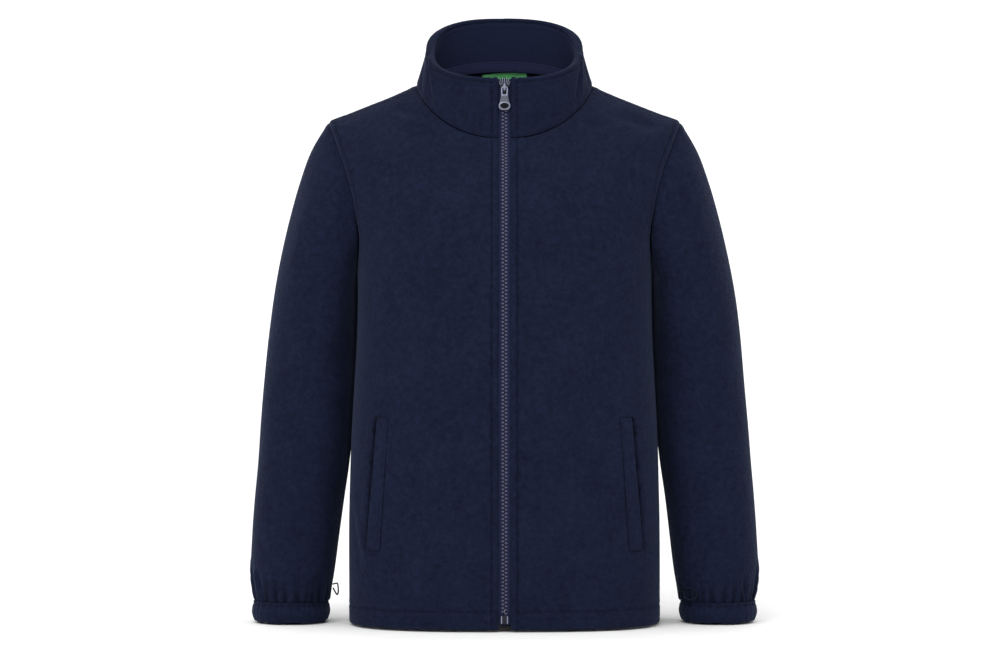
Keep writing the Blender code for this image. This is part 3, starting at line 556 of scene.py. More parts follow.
def path_distance(points, path):
    """Least distance from each point to a path of straight steps, and how far along that is."""
    steps = np.diff(path, axis=0)
    lengths = np.linalg.norm(steps, axis=1)
    starts = np.concatenate([[0.0], np.cumsum(lengths)])
    nearest = np.full(points.shape[:-1], np.inf)
    along = np.zeros(points.shape[:-1])
    for start, step, long, begun in zip(path[:-1], steps, lengths, starts):
        offset = points - start
        part = np.clip(offset @ step / long**2, 0, 1)
        gap = np.linalg.norm(offset - part[..., None] * step, axis=-1)
        along = np.where(gap < nearest, begun + part * long, along)
        nearest = np.minimum(gap, nearest)
    return nearest, along


# Relief of the cloth ----------------------------------------------------------------------------


def bell(distance, width):
    """A soft hump of height 1: e to the power of minus (distance / width) squared."""
    return np.exp(-((distance / width) ** 2))


def creased(across, up, table):
    """Relief of a crease table: a bell across each curve, faded by a sine towards its two ends."""
    flat = np.stack([across, up], axis=-1)
    relief = np.zeros(across.shape)
    share = np.linspace(0, 1, 9)[:, None]
    for row in table:
        start, bend, end = np.array(row[:6]).reshape(3, 2)
        path = start * (1 - share) ** 2 + 2 * bend * share * (1 - share) + end * share**2
        nearby = np.all(
            (flat > path.min(axis=0) - 3 * row.width) & (flat < path.max(axis=0) + 3 * row.width),
            axis=-1,
        )
        gap, along = path_distance(flat[nearby], path)
        share_along = np.clip(along / run_along(path, 0)[-1], 0, 1)
        faded = np.abs(np.sin(np.pi * share_along)) ** 0.7
        relief[nearby] += row.height * bell(gap, row.width) * faded
    return relief


def uneven(across, up, height):
    """Broad soft unevenness: four waves of different slant and length, added together."""
    waves = (
        np.sin(across / 19.0 + up / 43.0)
        + np.sin(across / 31.0 - up / 27.0 + 1.3)
        + 0.7 * np.sin(across / 11.0 + up / 71.0 + 2.1)
        + 0.6 * np.sin(up / 17.0 - across / 58.0 + 0.4)
    )
    return height * waves / 3.3


def pucker(along):
    """The small pull of stitches on cloth: two waves whose lengths don't divide each other."""
    return 0.6 * np.sin(along / 0.97) + 0.4 * np.sin(along / 1.61 + 0.8)


def folded_edge(distance, radius=1.1):
    """Relief beside a fold: a quarter circle that leaves a thin middle at the very edge."""
    share = np.clip(1 - distance / radius, 0, 1)
    return -(radius - 0.12) * (1 - np.sqrt(1 - share**2))


def stitched(distance, line, along, depth=0.5):
    """Relief of a stitched row: a groove with the cloth raised and puckered beside it."""
    off = distance - line
    beside = 0.28 * (bell(off + 2.4, 1.5) + bell(off - 2.4, 1.5))
    return beside - depth * bell(off, 0.75) + 0.14 * pucker(along) * bell(off, 3.4)


# Meshes -----------------------------------------------------------------------------------------


def add_piece(name, points, faces, material, slot, replaces=(), body="jacket", hollow=None):
    """A closed mesh, turned outwards, that rides on a body and may stand for CAD nodes.

    Hollow gives each point's depth in a groove, 0 to 1, which its finish paints darker as painted
    shade. Less than 0 makes a point paler as painted light: on metal it is a painted highlight on an
    edge or ridge.
    """
    mesh = bpy.data.meshes.new(name)
    corners = [row for group in faces for row in group.tolist()]
    mesh.from_pydata((points * MM).tolist(), [], corners)
    shape = bmesh.new()
    shape.from_mesh(mesh)
    bmesh.ops.recalc_face_normals(shape, faces=shape.faces)
    shape.to_mesh(mesh)
    shape.free()
    mesh.shade_smooth()
    mesh.materials.append(material)
    # The hollow attribute carries painted shade, and painted light where it is below 0.
    if hollow is not None:
        layer = mesh.attributes.new("hollow", "FLOAT", "POINT")
        layer.data.foreach_set("value", np.asarray(hollow, np.float32).ravel())
    piece = put_in(name, mesh)
    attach(piece, body)
    if replaces:
        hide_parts(*replaces)
    return piece


def put_in(name, data):
    """A new object of the given data, linked into the scene."""
    made = bpy.data.objects.new(name, data)
    bpy.context.scene.collection.objects.link(made)
    return made


def numbers(grid):
    """The point numbers of a grid, line by line."""
    return np.arange(grid[..., 0].size).reshape(grid.shape[:2])


def wrapped(index):
    """A grid of point numbers with its first column again after the last."""
    return np.concatenate([index, index[:, :1]], axis=1)


def ring_faces(rings):
    """Faces over a grid that closes on itself both ways, like a ring's skin."""
    index = wrapped(numbers(rings))
    return [grid_faces(np.concatenate([index, index[:1]]))]


def grid_faces(index):
    """Four-cornered faces between neighbouring lines and columns of a grid of point numbers."""
    corners = (index[:-1, :-1], index[:-1, 1:], index[1:, 1:], index[1:, :-1])
    return np.stack(corners, axis=-1).reshape(-1, 4)


def shell(outer, inner, closed=False):
    """Points and faces of a wall between two grids, closed round its edges."""
    index = numbers(outer)
    count = index.size
    if closed:
        index = wrapped(index)
        rims = [index[0], index[-1]]
    else:
        rims = [np.concatenate([index[0], index[1:, -1], index[-1, -2::-1], index[-2::-1, 0]])]
    quads = grid_faces(index)
    edges = [np.stack([r[:-1], r[1:], r[1:] + count, r[:-1] + count], axis=-1) for r in rims]
    points = np.concatenate([outer.reshape(-1, 3), inner.reshape(-1, 3)])
    return points, [quads, quads[:, ::-1] + count, *edges]


def looped(rings):
    """Points and faces of a tube of closed rings, with a flat cap at each end."""
    index = numbers(rings)
    return rings.reshape(-1, 3), [grid_faces(wrapped(index)), index[:1, ::-1], index[-1:]]


def joined(parts):
    """Several forms' points and faces as one form."""
    points, faces, count = [], [], 0
    for part_points, part_faces in parts:
        points.append(part_points)
        faces += [group + count for group in part_faces]
        count += len(part_points)
    return np.concatenate(points), faces


def repeated(form, places, across, out, up):
    """One form set at many places, each with its own directions across, out and up."""
    points, faces = form
    frames = np.stack([across, out, up], axis=1)
    moved = places[:, None, :] + np.einsum("pk,nkd->npd", points, frames)
    shift = (np.arange(len(places)) * len(points))[:, None, None]
    return moved.reshape(-1, 3), [(group + shift).reshape(-1, group.shape[1]) for group in faces]


def unmoved(points):
    """The same points, on the wearer's left, where each pair's form is worked out."""
    return points


def mirrored(points):
    """The same points on the wearer's other side."""
    return points * np.array([-1.0, 1.0, 1.0])


SIDES = (("left", unmoved), ("right", mirrored))


def squared_off(wave, power):
    """A sine or cosine to a power with its sign kept, which makes a circle a superellipse."""
    return np.sign(wave) * np.abs(wave) ** power


def crossing(field, level, *grids):
    """Where a field that rises along each line of a grid passes a level, read on other grids."""
    lines = np.arange(len(field))
    after = np.clip(np.argmax(field >= level, axis=1), 1, field.shape[1] - 1)
    low, high = field[lines, after - 1], field[lines, after]
    part = ((level - low) / (high - low))[:, None]
    return [grid[lines, after - 1] * (1 - part) + grid[lines, after] * part for grid in grids]


def stitches(path, normals, pitch, long, thread):
    """Stitches along a path: small rods with rounded ends, sunk a little, at an even pitch."""
    run = run_along(path, 0)
    count = max(int((run[-1] - pitch) // pitch), 1)
    middles = pitch * (0.75 + np.arange(count))
    places = read_at(middles, run, path)
    out = unit(read_at(middles, run, normals))
    along = unit(read_at(middles + 0.4, run, path) - places)
    across = unit(np.cross(along, out))
    angle = np.arange(6) * np.pi / 3
    share = np.array([-1.0, -0.8, 0.0, 0.8, 1.0])
    thick = thread / 2 * np.array([0.45, 0.9, 1.0, 0.9, 0.45])
    rod = np.stack(
        [
            thick[:, None] * np.cos(angle),
            thick[:, None] * np.sin(angle) + thread * 0.35 * (1 - share[:, None] ** 2),
            np.repeat(share[:, None] * long / 2, 6, axis=1),
        ],
        axis=-1,
    )
    return repeated(looped(rod), places - STITCH_SINK * out, across, out, along)


# Finishes ---------------------------------------------------------------------------------------


def new_finish(name, sockets):
    """A Principled material with its constants set on the shader's own sockets."""
    made = bpy.data.materials.new(name)
    made.use_nodes = True
    shader = made.node_tree.nodes["Principled BSDF"]
    for socket, value in sockets.items():
        shader.inputs[socket].default_value = value
    return made, made.node_tree, shader


def node(tree, kind, inputs=(), **settings):
    """A shader node with its settings, input values and links."""
    made = tree.nodes.new(kind)
    for key, value in settings.items():
        setattr(made, key, value)
    for key, value in dict(inputs).items():
        if isinstance(value, bpy.types.NodeSocket):
            tree.links.new(value, made.inputs[key])
        else:
            made.inputs[key].default_value = value
    return made


def place(tree, stretch=(1.0, 1.0, 1.0)):
    """The object's own coordinates, stretched along its axes."""
    coordinates = node(tree, "ShaderNodeTexCoord").outputs["Object"]
    return node(tree, "ShaderNodeMapping", {"Vector": coordinates, "Scale": stretch}).outputs[0]


def noise(tree, vector, scale, detail=3.0, roughness=0.55):
    """A noise value between 0 and 1, in metres of the object."""
    inputs = {"Vector": vector, "Scale": scale, "Detail": detail, "Roughness": roughness}
    return node(tree, "ShaderNodeTexNoise", inputs).outputs["Fac"]


def mixed(tree, share, first, second):
    """Two numbers mixed by a share."""
    return node(tree, "ShaderNodeMix", {0: share, 2: first, 3: second}).outputs[0]


def painted_shade_and_light(tree, value, amount):
    """Painted shade: a value lowered where the piece's own points lie in a groove, and raised as
    painted light where the hollow attribute is below 0.
    """
    depth = node(tree, "ShaderNodeAttribute", attribute_name="hollow").outputs["Fac"]
    settings = {"operation": "MULTIPLY_ADD"}
    inputs = {0: depth, 1: -amount, 2: value}
    return node(tree, "ShaderNodeMath", inputs, **settings).outputs[0]


def ramp(tree, value, stops):
    """A colour ramp through stops of (position, colour)."""
    made = node(tree, "ShaderNodeValToRGB", {"Fac": value})
    while len(made.color_ramp.elements) < len(stops):
        made.color_ramp.elements.new(0.5)
    for element, (position, tint) in zip(made.color_ramp.elements, stops):
        element.position = position
        element.color = (*tint, 1.0)
    return made.outputs["Color"]


def toned(tint, lift):
    """A tint made paler or darker by a factor."""
    return tuple(lift * k for k in tint)


def base_tones(tree, shader, value, tint, *tones):
    """The base colour from a value: a ramp of a tint's tones, each a (position, factor)."""
    stops = tuple((position, toned(tint, lift)) for position, lift in tones)
    tree.links.new(ramp(tree, value, stops), shader.inputs["Base Color"])


def bump(tree, shader, height, strength, distance):
    """A bump from a height, joined to the shader's normal."""
    inputs = {"Height": height, "Strength": strength, "Distance": distance}
    tree.links.new(node(tree, "ShaderNodeBump", inputs).outputs[0], shader.inputs["Normal"])


def fleece(name, colours, nap=1.0, lift=1.0):
    """Brushed fleece: tufts and fine hair in the bump, cloudy nap in the colour, a blue sheen, and
    painted shade in its grooves.
    """
    made, tree, shader = new_finish(
        name,
        {
            "Roughness": 0.96,
            "Specular IOR Level": 0.06,
            "Sheen Weight": 0.13,
            "Sheen Roughness": 0.28,
            "Sheen Tint": (0.36, 0.45, 0.72, 1.0),
        },
    )
    vector = place(tree)
    tufts = noise(tree, vector, 620.0, 3.0, 0.6)
    pills = noise(tree, vector, 240.0, 2.0, 0.5)
    hair = noise(tree, place(tree, (1.0, 1.0, 0.45)), 2300.0, 2.0, 0.7)
    clouds = noise(tree, place(tree, (1.0, 1.0, 0.7)), 52.0, 4.0, 0.62)
    shade = mixed(tree, 0.24, mixed(tree, 0.5, tufts, pills), clouds)
    # Painted shade: the colour is pulled down where the hollow attribute marks a groove, and painted
    # paler where it is below 0.
    shade = painted_shade_and_light(tree, shade, 0.42)
    deep, light = toned(colours.fleece_deep, lift), toned(colours.fleece_light, lift)
    middle = tuple((d + k) / 2 for d, k in zip(deep, light))
    # The ramp's first stop is the painted shade of the grooves: the deep tone at 0.12.
    groove = toned(deep, 0.12)
    tone = ramp(tree, shade, ((0.0, groove), (0.38, deep), (0.5, middle), (0.62, light)))
    tree.links.new(tone, shader.inputs["Base Color"])
    pile = mixed(tree, 0.3, mixed(tree, 0.45, tufts, pills), hair)
    bump(tree, shader, pile, 0.85 * nap, 0.0014)
    return made


def woven(name, tint, scale=1500.0, shine=0.1):
    """Narrow woven tape: ribs across it and finer threads along it."""
    made, tree, shader = new_finish(
        name, {"Roughness": 0.72, "Specular IOR Level": shine, "Sheen Weight": 0.03}
    )
    vector = place(tree)
    inputs = {"Vector": vector, "Scale": scale, "Distortion": 0.6, "Detail": 1.0}
    ribs = node(tree, "ShaderNodeTexWave", inputs, bands_direction="Z").outputs["Fac"]
    warp = node(tree, "ShaderNodeTexWave", inputs, bands_direction="DIAGONAL").outputs["Fac"]
    weave = mixed(tree, 0.5, ribs, warp)
    base_tones(tree, shader, weave, tint, (0.2, 0.62), (0.8, 1.35))
    bump(tree, shader, weave, 0.5, 0.0003)
    return made


def spun(name, tint):
    """Sewing thread: a slight lustre and a fine twist."""
    made, tree, shader = new_finish(name, {"Roughness": 0.62, "Specular IOR Level": 0.1})
    twist = noise(tree, place(tree, (1.0, 1.0, 2.0)), 4200.0, 1.0)
    base_tones(tree, shader, twist, tint, (0.3, 0.7), (0.7, 1.3))
    bump(tree, shader, twist, 0.4, 0.0001)
    return made


def moulded(name, tint):
    """Moulded plastic of the teeth: glossy, with faint flow marks in its tone, roughness and bump.
    """
    made, tree, shader = new_finish(
        name, {"Roughness": 0.4, "Specular IOR Level": 0.45, "Coat Weight": 0.05}
    )
    marks = noise(tree, place(tree), 900.0, 3.0)
    base_tones(tree, shader, marks, tint, (0.35, 0.72), (0.7, 1.4))
    rough = node(tree, "ShaderNodeMapRange", {"Value": marks, "To Min": 0.32, "To Max": 0.5})
    tree.links.new(rough.outputs[0], shader.inputs["Roughness"])
    bump(tree, shader, marks, 0.12, 0.0002)
    return made


def enamelled(name, tint):
    """Grey lacquered zinc: fine orange peel and small scratches, with painted shade in its recesses
    and painted highlights on its edges.
    """
    made, tree, shader = new_finish(
        name, {"Metallic": 0.25, "Roughness": 0.34, "Specular IOR Level": 0.4, "Coat Weight": 0.08}
    )
    peel = noise(tree, place(tree), 1600.0, 2.0)
    scratch = noise(tree, place(tree, (6.0, 1.0, 0.7)), 700.0, 4.0, 0.7)
    wear = mixed(tree, 0.5, peel, scratch)
    shade = painted_shade_and_light(tree, wear, 0.5)
    # The first stop is painted shade and the brightest stop a painted highlight, reached where the
    # hollow attribute is high or below 0.
    tones = ((0.0, 0.06), (0.35, 0.75), (0.6, 1.6), (1.0, 4.5))
    base_tones(tree, shader, shade, tint, *tones)
    # Painted reflection: the shine follows the same painted shade and highlights.
    shine = node(tree, "ShaderNodeMapRange", {"Value": shade, "To Min": 0.0, "To Max": 0.8})
    tree.links.new(shine.outputs[0], shader.inputs["Specular IOR Level"])
    rough = node(tree, "ShaderNodeMapRange", {"Value": wear, "To Min": 0.24, "To Max": 0.5})
    tree.links.new(rough.outputs[0], shader.inputs["Roughness"])
    bump(tree, shader, wear, 0.1, 0.0002)
    return made


def satin(name, tint):
    """Woven satin of the label: long floats across it and a soft sheen."""
    made, tree, shader = new_finish(
        name, {"Roughness": 0.45, "Specular IOR Level": 0.45, "Sheen Weight": 0.2}
    )
    floats = noise(tree, place(tree, (0.25, 1.0, 3.0)), 1500.0, 2.0)
    base_tones(tree, shader, floats, tint, (0.3, 0.78), (0.7, 1.15))
    bump(tree, shader, floats, 0.35, 0.0002)
    return made


def finish(kind):
    """The jacket's own finishes, each made once and then used again."""
    name = f"jacket_{kind}"
    ready = bpy.data.materials.get(name)
    if ready:
        return ready
    colours = bpy.context.scene.jacket_colours
    makers = {
        "fleece": lambda: fleece(name, colours),
        "fleece_smooth": lambda: fleece(name, colours, nap=0.5, lift=1.06),
        # The collar's copy has its colour painted a tenth darker all over, as painted shade.
        "fleece_collar": lambda: fleece(name, colours, nap=0.8, lift=0.9),
        "thread": lambda: spun(name, colours.thread),
        "tape": lambda: woven(name, colours.tape),
        "label": lambda: satin(name, colours.label),
        "teeth": lambda: moulded(name, colours.teeth),
        "metal": lambda: enamelled(name, colours.metal),
        "elastic": lambda: woven(name, colours.elastic, 2600.0, 0.12),
    }
    return makers[kind]()


# Cloth pieces, their cut and their stitches -----------------------------------------------------

# The flat size that each piece was cut to, in metres and square metres, and how it is held.
Cut = namedtuple("Cut", "width length area held")


def size(name):
    """A user's size in millimetres."""
    return getattr(bpy.context.scene.jacket_sizes, name) / MM


def sunk(relief):
    """How deep a wall's outer face lies in its grooves, which the fleece paints as shade, then
    nothing for its inner face.
    """
    outer = np.clip(-0.9 * relief, 0, 1).ravel()
    return np.concatenate([outer, np.zeros_like(outer)])


def add_cloth(name, part, form, kind, slot, hollow=None):
    """A cloth piece that stands for the CAD node of its name."""
    piece = add_piece(f"{name}_{part}", *form, finish(kind), slot, (name,), hollow=hollow)


def add_stitches(name, parts):
    """One mesh of all the stitches in several rows, each given as a path and its normals."""
    pitch, long, thick = size("stitch_pitch"), size("stitch_length"), size("thread")
    rows = [stitches(path, normals, pitch, long, thick) for path, normals in parts]
    return add_piece(name, *joined(rows), finish("thread"), None)


# Body panels ------------------------------------------------------------------------------------


def panel_stations():
    """Stations of the panels' lines, close together at the edges, and the armhole's first line."""
    places = knots(BODY_ROWS)
    low, high = places[ARMPIT], places[TIP]
    below = graded(low, 0.5, 2.4, high=False)
    hole = low + (high - low) * (1 - np.cos(np.linspace(0, np.pi, HOLE_STEPS + 1))) / 2
    above = high + graded(places[-1] - high, 0.3, 1.0, low=False, reach=8.0)
    every = np.concatenate([below[:-1], hole, above[1:]])
    return np.interp(every, places, np.arange(NECK + 1)), len(below) - 1


def armhole_lines(hole):
    """The panels' lines that the armhole's stitches cross, clear of the armpit and the tip."""
    return slice(hole + 8, hole + HOLE_STEPS - 3)


def side_turn(stations, rows, depth, hole_depth):
    """Where a panel starts: its side or shoulder seam, or the armhole's arch between them."""
    places = knots(BODY_ROWS)
    low, high = places[ARMPIT], places[TIP]
    share = np.clip((np.interp(stations, range(NECK + 1), places) - low) / (high - low), 0, 1)
    reach = hole_depth * 2 * np.sqrt(share * (1 - share))[:, None]
    return turn_at_reach(rows, np.maximum(reach, SEAM / 2), depth)


def front_face(stations, share):
    """The +X front's outer face, from the side or armhole, 0, to the folded edge at the zip, 1."""
    rows = body_rows(stations)
    start = -side_turn(stations, rows, rows.front, ARMHOLE_FRONT)
    end = turn_at_width(rows, FRONT_GAP / 2)
    turn = end * share + start * np.maximum(1 - share / SIDE_SHARE, 0)
    return surface(body_rows, stations, turn)


def back_face(stations, share):
    """The back's outer face, from the +X side or armhole, -1, to the other, 1."""
    rows = body_rows(stations)
    start = side_turn(stations, rows, rows.back, ARMHOLE_BACK)
    side = np.maximum(np.abs(share) - 1 + SIDE_SHARE, 0) / SIDE_SHARE
    return surface(body_rows, stations, np.pi / 2 * (1 + share) - np.sign(share) * start * side)


def wall(face, normals, relief, roll, fold):
    """A cloth's two faces: both follow the folds, and both turn in where the edge is rolled."""
    cloth = size("cloth")
    outer = face + (fold + relief + roll)[..., None] * normals
    inner = face + (fold - cloth - 0.95 * roll)[..., None] * normals
    return outer, inner


def carried_on(inner, columns, reach=0.6):
    """An inner face whose seam edges run on by the reach, under the next piece's edge."""
    moved = inner.copy()
    for column, beside in columns:
        moved[:, column] += reach * unit(inner[:, column] - inner[:, beside])
    moved[-1] += reach * unit(inner[-1] - inner[-2])
    return moved


def side_rows(edge, along, run, hole, up):
    """Relief beside the side seam, the armhole and the shoulder seam of a panel."""
    below = np.clip((run[hole] - along) / 3 + 0.5, 0, 1)
    above = np.clip((along - run[hole + HOLE_STEPS]) / 3 + 0.5, 0, 1)
    round_hole = (1 - below) * (1 - above)
    strong = 0.3 + 0.7 * np.clip((up + 104) / 26, 0, 1)
    relief = 0.35 * bell(edge - 4.2, 2.6) * (1 - round_hole) + 0.1 * pucker(along) * bell(edge, 4)
    relief += round_hole * strong * stitched(edge, size("armhole_stitch"), along, 0.5)
    relief += round_hole * strong * 0.4 * bell(edge - 3.2, 1.9)
    return relief, above


def slit_and_width(share):
    """A pocket slit's distance from the zip, and its welt's width, from the top, 0, to 1."""
    slit = WELT_TOP_X + (WELT_BOTTOM_X - WELT_TOP_X) * share
    return slit, WELT_WIDTH_TOP + (WELT_WIDTH_BOTTOM - WELT_WIDTH_TOP) * share


def pocket_relief(across, up):
    """Relief round a pocket: the slit, the cloth lifted beside it, and the bag's seam behind."""
    share = (up - WELT_TOP_Z) / (WELT_BOTTOM_Z - WELT_TOP_Z)
    inside = np.clip((share + 0.01) * 40, 0, 1) * np.clip((1.01 - share) * 40, 0, 1)
    slit, width = slit_and_width(share)
    open_part = 0.45 + 0.55 * np.clip((0.8 - share) * 6, 0, 1)
    relief = inside * open_part * -1.9 * bell(across - slit - 1.0, 1.5)
    relief += inside * 0.55 * bell(across - slit - 4.8, 2.6)
    relief += inside * (0.65 * bell(across - slit + width + 3.4, 2.2))
    relief += inside * (-0.25 * bell(across - slit + width + 0.4, 0.9))
    ends = bell(share, 0.016) + bell(share - 1, 0.016)
    return relief - 0.25 * ends * bell(across - slit + width / 2, width * 0.75)


def make_fronts():
    """The two fronts with their stitches, each a wall on the same face with its own creases."""
    stations, hole = panel_stations()
    share = graded(PANEL_WIDTH, 0.5, 1.9)[None, :] / PANEL_WIDTH
    face, normals = front_face(stations, share)
    across, up = face[..., 0], face[..., 2]
    edge, along = path_distance(face, face[:, 0])
    run = run_along(face[:, 0], 0)
    hem, neck = run_along(face, 0), run_along(face, 0, from_end=True)
    zip_side = run_along(face, 1, from_end=True)
    relief, above = side_rows(edge, along, run, hole, up)
    relief += above * stitched(edge, size("shoulder_stitch"), along, 0.5)
    relief += stitched(zip_side, size("zip_stitch"), up, 0.6) + 0.35 * bell(zip_side - 2.7, 1.7)
    relief += stitched(hem, size("hem_stitch"), across, 0.55) * np.clip(zip_side - 1, 0, 1)
    relief += 0.25 * bell(hem - 6.5, 5.0) + 0.1 * pucker(across) * bell(hem - 10, 7)
    relief += 0.3 * bell(neck - 3.8, 2.4) + pocket_relief(across, up)
    rolled = (-0.6 * bell(edge, 1.0), -0.45 * bell(neck, 0.9))
    roll = np.minimum.reduce([*rolled, folded_edge(zip_side), folded_edge(hem)])
    creases = (FRONT_LEFT_CREASES, FRONT_RIGHT_CREASES)
    for (side, turned), table, slant in zip(SIDES, creases, (0.0, 90.0)):
        fold = creased(across, up, table) + uneven(across + slant, up - slant, 0.5)
        outer, inner = wall(face, normals, relief, roll, fold)
        form = shell(turned(outer), turned(carried_on(inner, [(0, 1)])))
        add_cloth(f"front_{side}", "cloth", form, "fleece", "fleece", sunk(relief))
        rows = front_stitch_rows(outer, normals, edge, hem, zip_side, hole)
        add_stitches(f"front_{side}_stitches", [(turned(p), turned(n)) for p, n in rows])


def front_stitch_rows(outer, normals, edge, hem, zip_side, hole):
    """A front's rows of stitches, read off its face: zip edge, hem, armhole and shoulder."""
    level = size("zip_stitch")
    rows = [crossing(zip_side[:, ::-1], level, outer[:, ::-1], normals[:, ::-1])]
    kept = hem[:, -1] > size("hem_stitch")
    rows[0] = [part[kept] for part in rows[0]]
    sides = (outer.transpose(1, 0, 2), normals.transpose(1, 0, 2))
    rows.append(crossing(hem.T, size("hem_stitch"), *sides))
    high = armhole_lines(hole)
    rows.append(crossing(edge[high], size("armhole_stitch"), outer[high], normals[high]))
    top = slice(hole + HOLE_STEPS + 8, None)
    rows.append(crossing(edge[top], size("shoulder_stitch"), outer[top], normals[top]))
    return rows


def make_back():
    """The back with its stitches: one wall from side to side."""
    stations, hole = panel_stations()
    share = graded(2 * PANEL_WIDTH, 0.6, 2.2)[None, :] / PANEL_WIDTH - 1
    face, normals = back_face(stations, share)
    across, up = face[..., 0], face[..., 2]
    run = run_along(face[:, 0], 0)
    near = [path_distance(face, face[:, column]) for column in (0, -1)]
    edge = np.minimum(near[0][0], near[1][0])
    along = np.where(near[0][0] < near[1][0], near[0][1], near[1][1])
    hem, neck = run_along(face, 0), run_along(face, 0, from_end=True)
    relief, _ = side_rows(edge, along, run, hole, up)
    relief += stitched(hem, size("hem_stitch"), across, 0.55) + 0.25 * bell(hem - 6.5, 5.0)
    relief += 0.1 * pucker(across) * bell(hem - 10, 7) + 0.3 * bell(neck - 3.8, 2.4)
    roll = np.minimum.reduce([-0.6 * bell(edge, 1.0), -0.45 * bell(neck, 0.9), folded_edge(hem)])
    fold = creased(across, up, BACK_CREASES) + uneven(across, up, 0.6)
    outer, inner = wall(face, normals, relief, roll, fold)
    form = shell(outer, carried_on(inner, [(0, 1), (-1, -2)]))
    add_cloth("back", "cloth", form, "fleece", "fleece", sunk(relief))
    sides = (outer.transpose(1, 0, 2), normals.transpose(1, 0, 2))
    rows = [crossing(hem.T, size("hem_stitch"), *sides)]
    high = armhole_lines(hole)
    for flip in (slice(None), slice(None, None, -1)):
        grids = (outer[high, flip], normals[high, flip])
        rows.append(crossing(edge[high, flip], size("armhole_stitch"), *grids))
    add_stitches("back_stitches", rows)


# Sleeves and cuffs ------------------------------------------------------------------------------


def sleeve_ring(row, angle, inset=0.0):
    """Rings between the arm's outer and inner points, superelliptic, from the top by the front."""
    outer_x, outer_z, inner_x, inner_z, centre_y, half_depth, square = row
    along, deep = squared_off(np.cos(angle), 2 / square), squared_off(np.sin(angle), 2 / square)
    x = (outer_x + inner_x) / 2 + along * ((outer_x - inner_x) / 2 - inset)
    y = centre_y - deep * (half_depth - inset)
    z = (outer_z + inner_z) / 2 + along * (outer_z - inner_z) / 2
    return np.stack(np.broadcast_arrays(x, y, z), axis=-1)


def armhole_ring():
    """The sleeve's first ring: the armhole's edge, moved a seam's width into the opening."""
    stations, hole = panel_stations()
    stations = stations[hole : hole + HOLE_STEPS + 1]
    both = []
    for face_of, share in ((front_face, (0.0, 1 / 9)), (back_face, (-1.0, -8 / 9))):
        points, normals = face_of(stations, np.array([share]))
        both.append(np.concatenate([points, normals[:, :1]], axis=1))
    ring_points = np.concatenate([both[0][::-1], both[1][1:-1]])
    edge, within, normals = ring_points[:, 0], ring_points[:, 1], ring_points[:, 2]
    edge[[0, HOLE_STEPS], 1] = 0.0
    tangent = np.roll(edge, -1, axis=0) - np.roll(edge, 1, axis=0)
    across = unit(np.cross(tangent, normals))
    across *= np.sign(np.sum(across * (edge - within), axis=-1, keepdims=True))
    angle = np.arange(2 * HOLE_STEPS) * np.pi / HOLE_STEPS
    weight = np.clip(((1 + np.cos(angle))[:, None] / 2 - 0.2) / 0.4, 0, 1)
    move = unit(across * weight + np.array([1.0, 0.0, 0.0]) * (1 - weight))
    return edge + ARMHOLE_CLEAR * move, normals, weight, angle


def tube_normals(points):
    """Outward unit normals of a tube's rings, from the differences of its points."""
    down = np.gradient(points, axis=0)
    around = np.roll(points, -1, axis=1) - np.roll(points, 1, axis=1)
    normals = unit(np.cross(down, around))
    outward = np.sum(normals * (points - points.mean(axis=1, keepdims=True)), axis=-1)
    return normals * np.where(outward < 0, -1.0, 1.0)[..., None]


def pleats(share, count):
    """Uneven gathers round a ring: a wave whose phase wanders by two slower waves."""
    turn = 2 * np.pi * share
    return np.sin(count * turn + 1.5 * np.sin(3 * turn + 0.6) + 0.8 * np.sin(8 * turn + 1.9))


def sleeve_face():
    """The sleeve's outer face and normals, from the armhole down, with the angles round it.

    It is a cubic through the armhole's edge and the ring table. The first rings also follow what
    the real armhole has beyond a flat one, and their normals turn from the panel's to the tube's.
    """
    edge, panel_normals, weight, angle = armhole_ring()
    columns = np.array(SLEEVE_ROWS).T[:, :, None]
    rings = np.concatenate([edge[None], sleeve_ring(columns, angle)])
    beyond = edge - sleeve_ring(ARMHOLE_FLAT, angle)
    fade = np.array(HEAD_FADE)[:, None, None]
    rings[1 : len(fade) + 1] += fade * beyond
    places = run_along(rings, 0).mean(axis=1)
    even = graded(places[-1], 0.5, 2.3)
    face = cubic(rings, places, np.interp(even, places, np.arange(len(places))))
    normals = tube_normals(face)
    at_head = unit(normals[0] * (1 - weight) + panel_normals * weight)
    near = bell(run_along(face, 0), 5.0)[..., None]
    return face, unit(normals * (1 - near) + at_head[None] * near), angle


def make_sleeves():
    """The two sleeves, gathered towards the stitches of the cuffs' casings."""
    face, normals, angle = sleeve_face()
    head, cuff = run_along(face, 0), run_along(face, 0, from_end=True)
    share = np.broadcast_to(angle / (2 * np.pi), head.shape)
    around, up = SLEEVE_ROUND * share, face[..., 2]
    relief = 0.3 * bell(head - 3.6, 2.4) + 0.1 * pucker(around) * bell(head, 4.0)
    relief += 0.9 * bell(cuff, 13.0) * (0.55 * pleats(share, 25) - 0.25)
    relief += 0.25 * bell(cuff, 5.0) * pleats(share + 0.013, 47)
    from_seam = np.abs(around - SLEEVE_ROUND / 2)
    relief -= 0.55 * bell(from_seam, 0.9) - 0.22 * bell(from_seam - 3.4, 2.0)
    roll = np.minimum(-0.6 * bell(head, 1.0), -0.6 * bell(cuff, 1.1))
    quiet = np.clip(head / 20, 0, 1)
    creases = (SLEEVE_LEFT_CREASES, SLEEVE_RIGHT_CREASES)
    for (side, turned), table, slant in zip(SIDES, creases, (0.0, 55.0)):
        fold = creased(around, up, table)
        fold += quiet * uneven(100 * np.sin(np.pi * share), up + slant, 0.5)
        outer, inner = wall(face, normals, relief, roll, fold)
        form = shell(turned(outer), turned(inner), closed=True)
        add_cloth(f"sleeve_{side}", "cloth", form, "fleece", "fleece", sunk(relief))


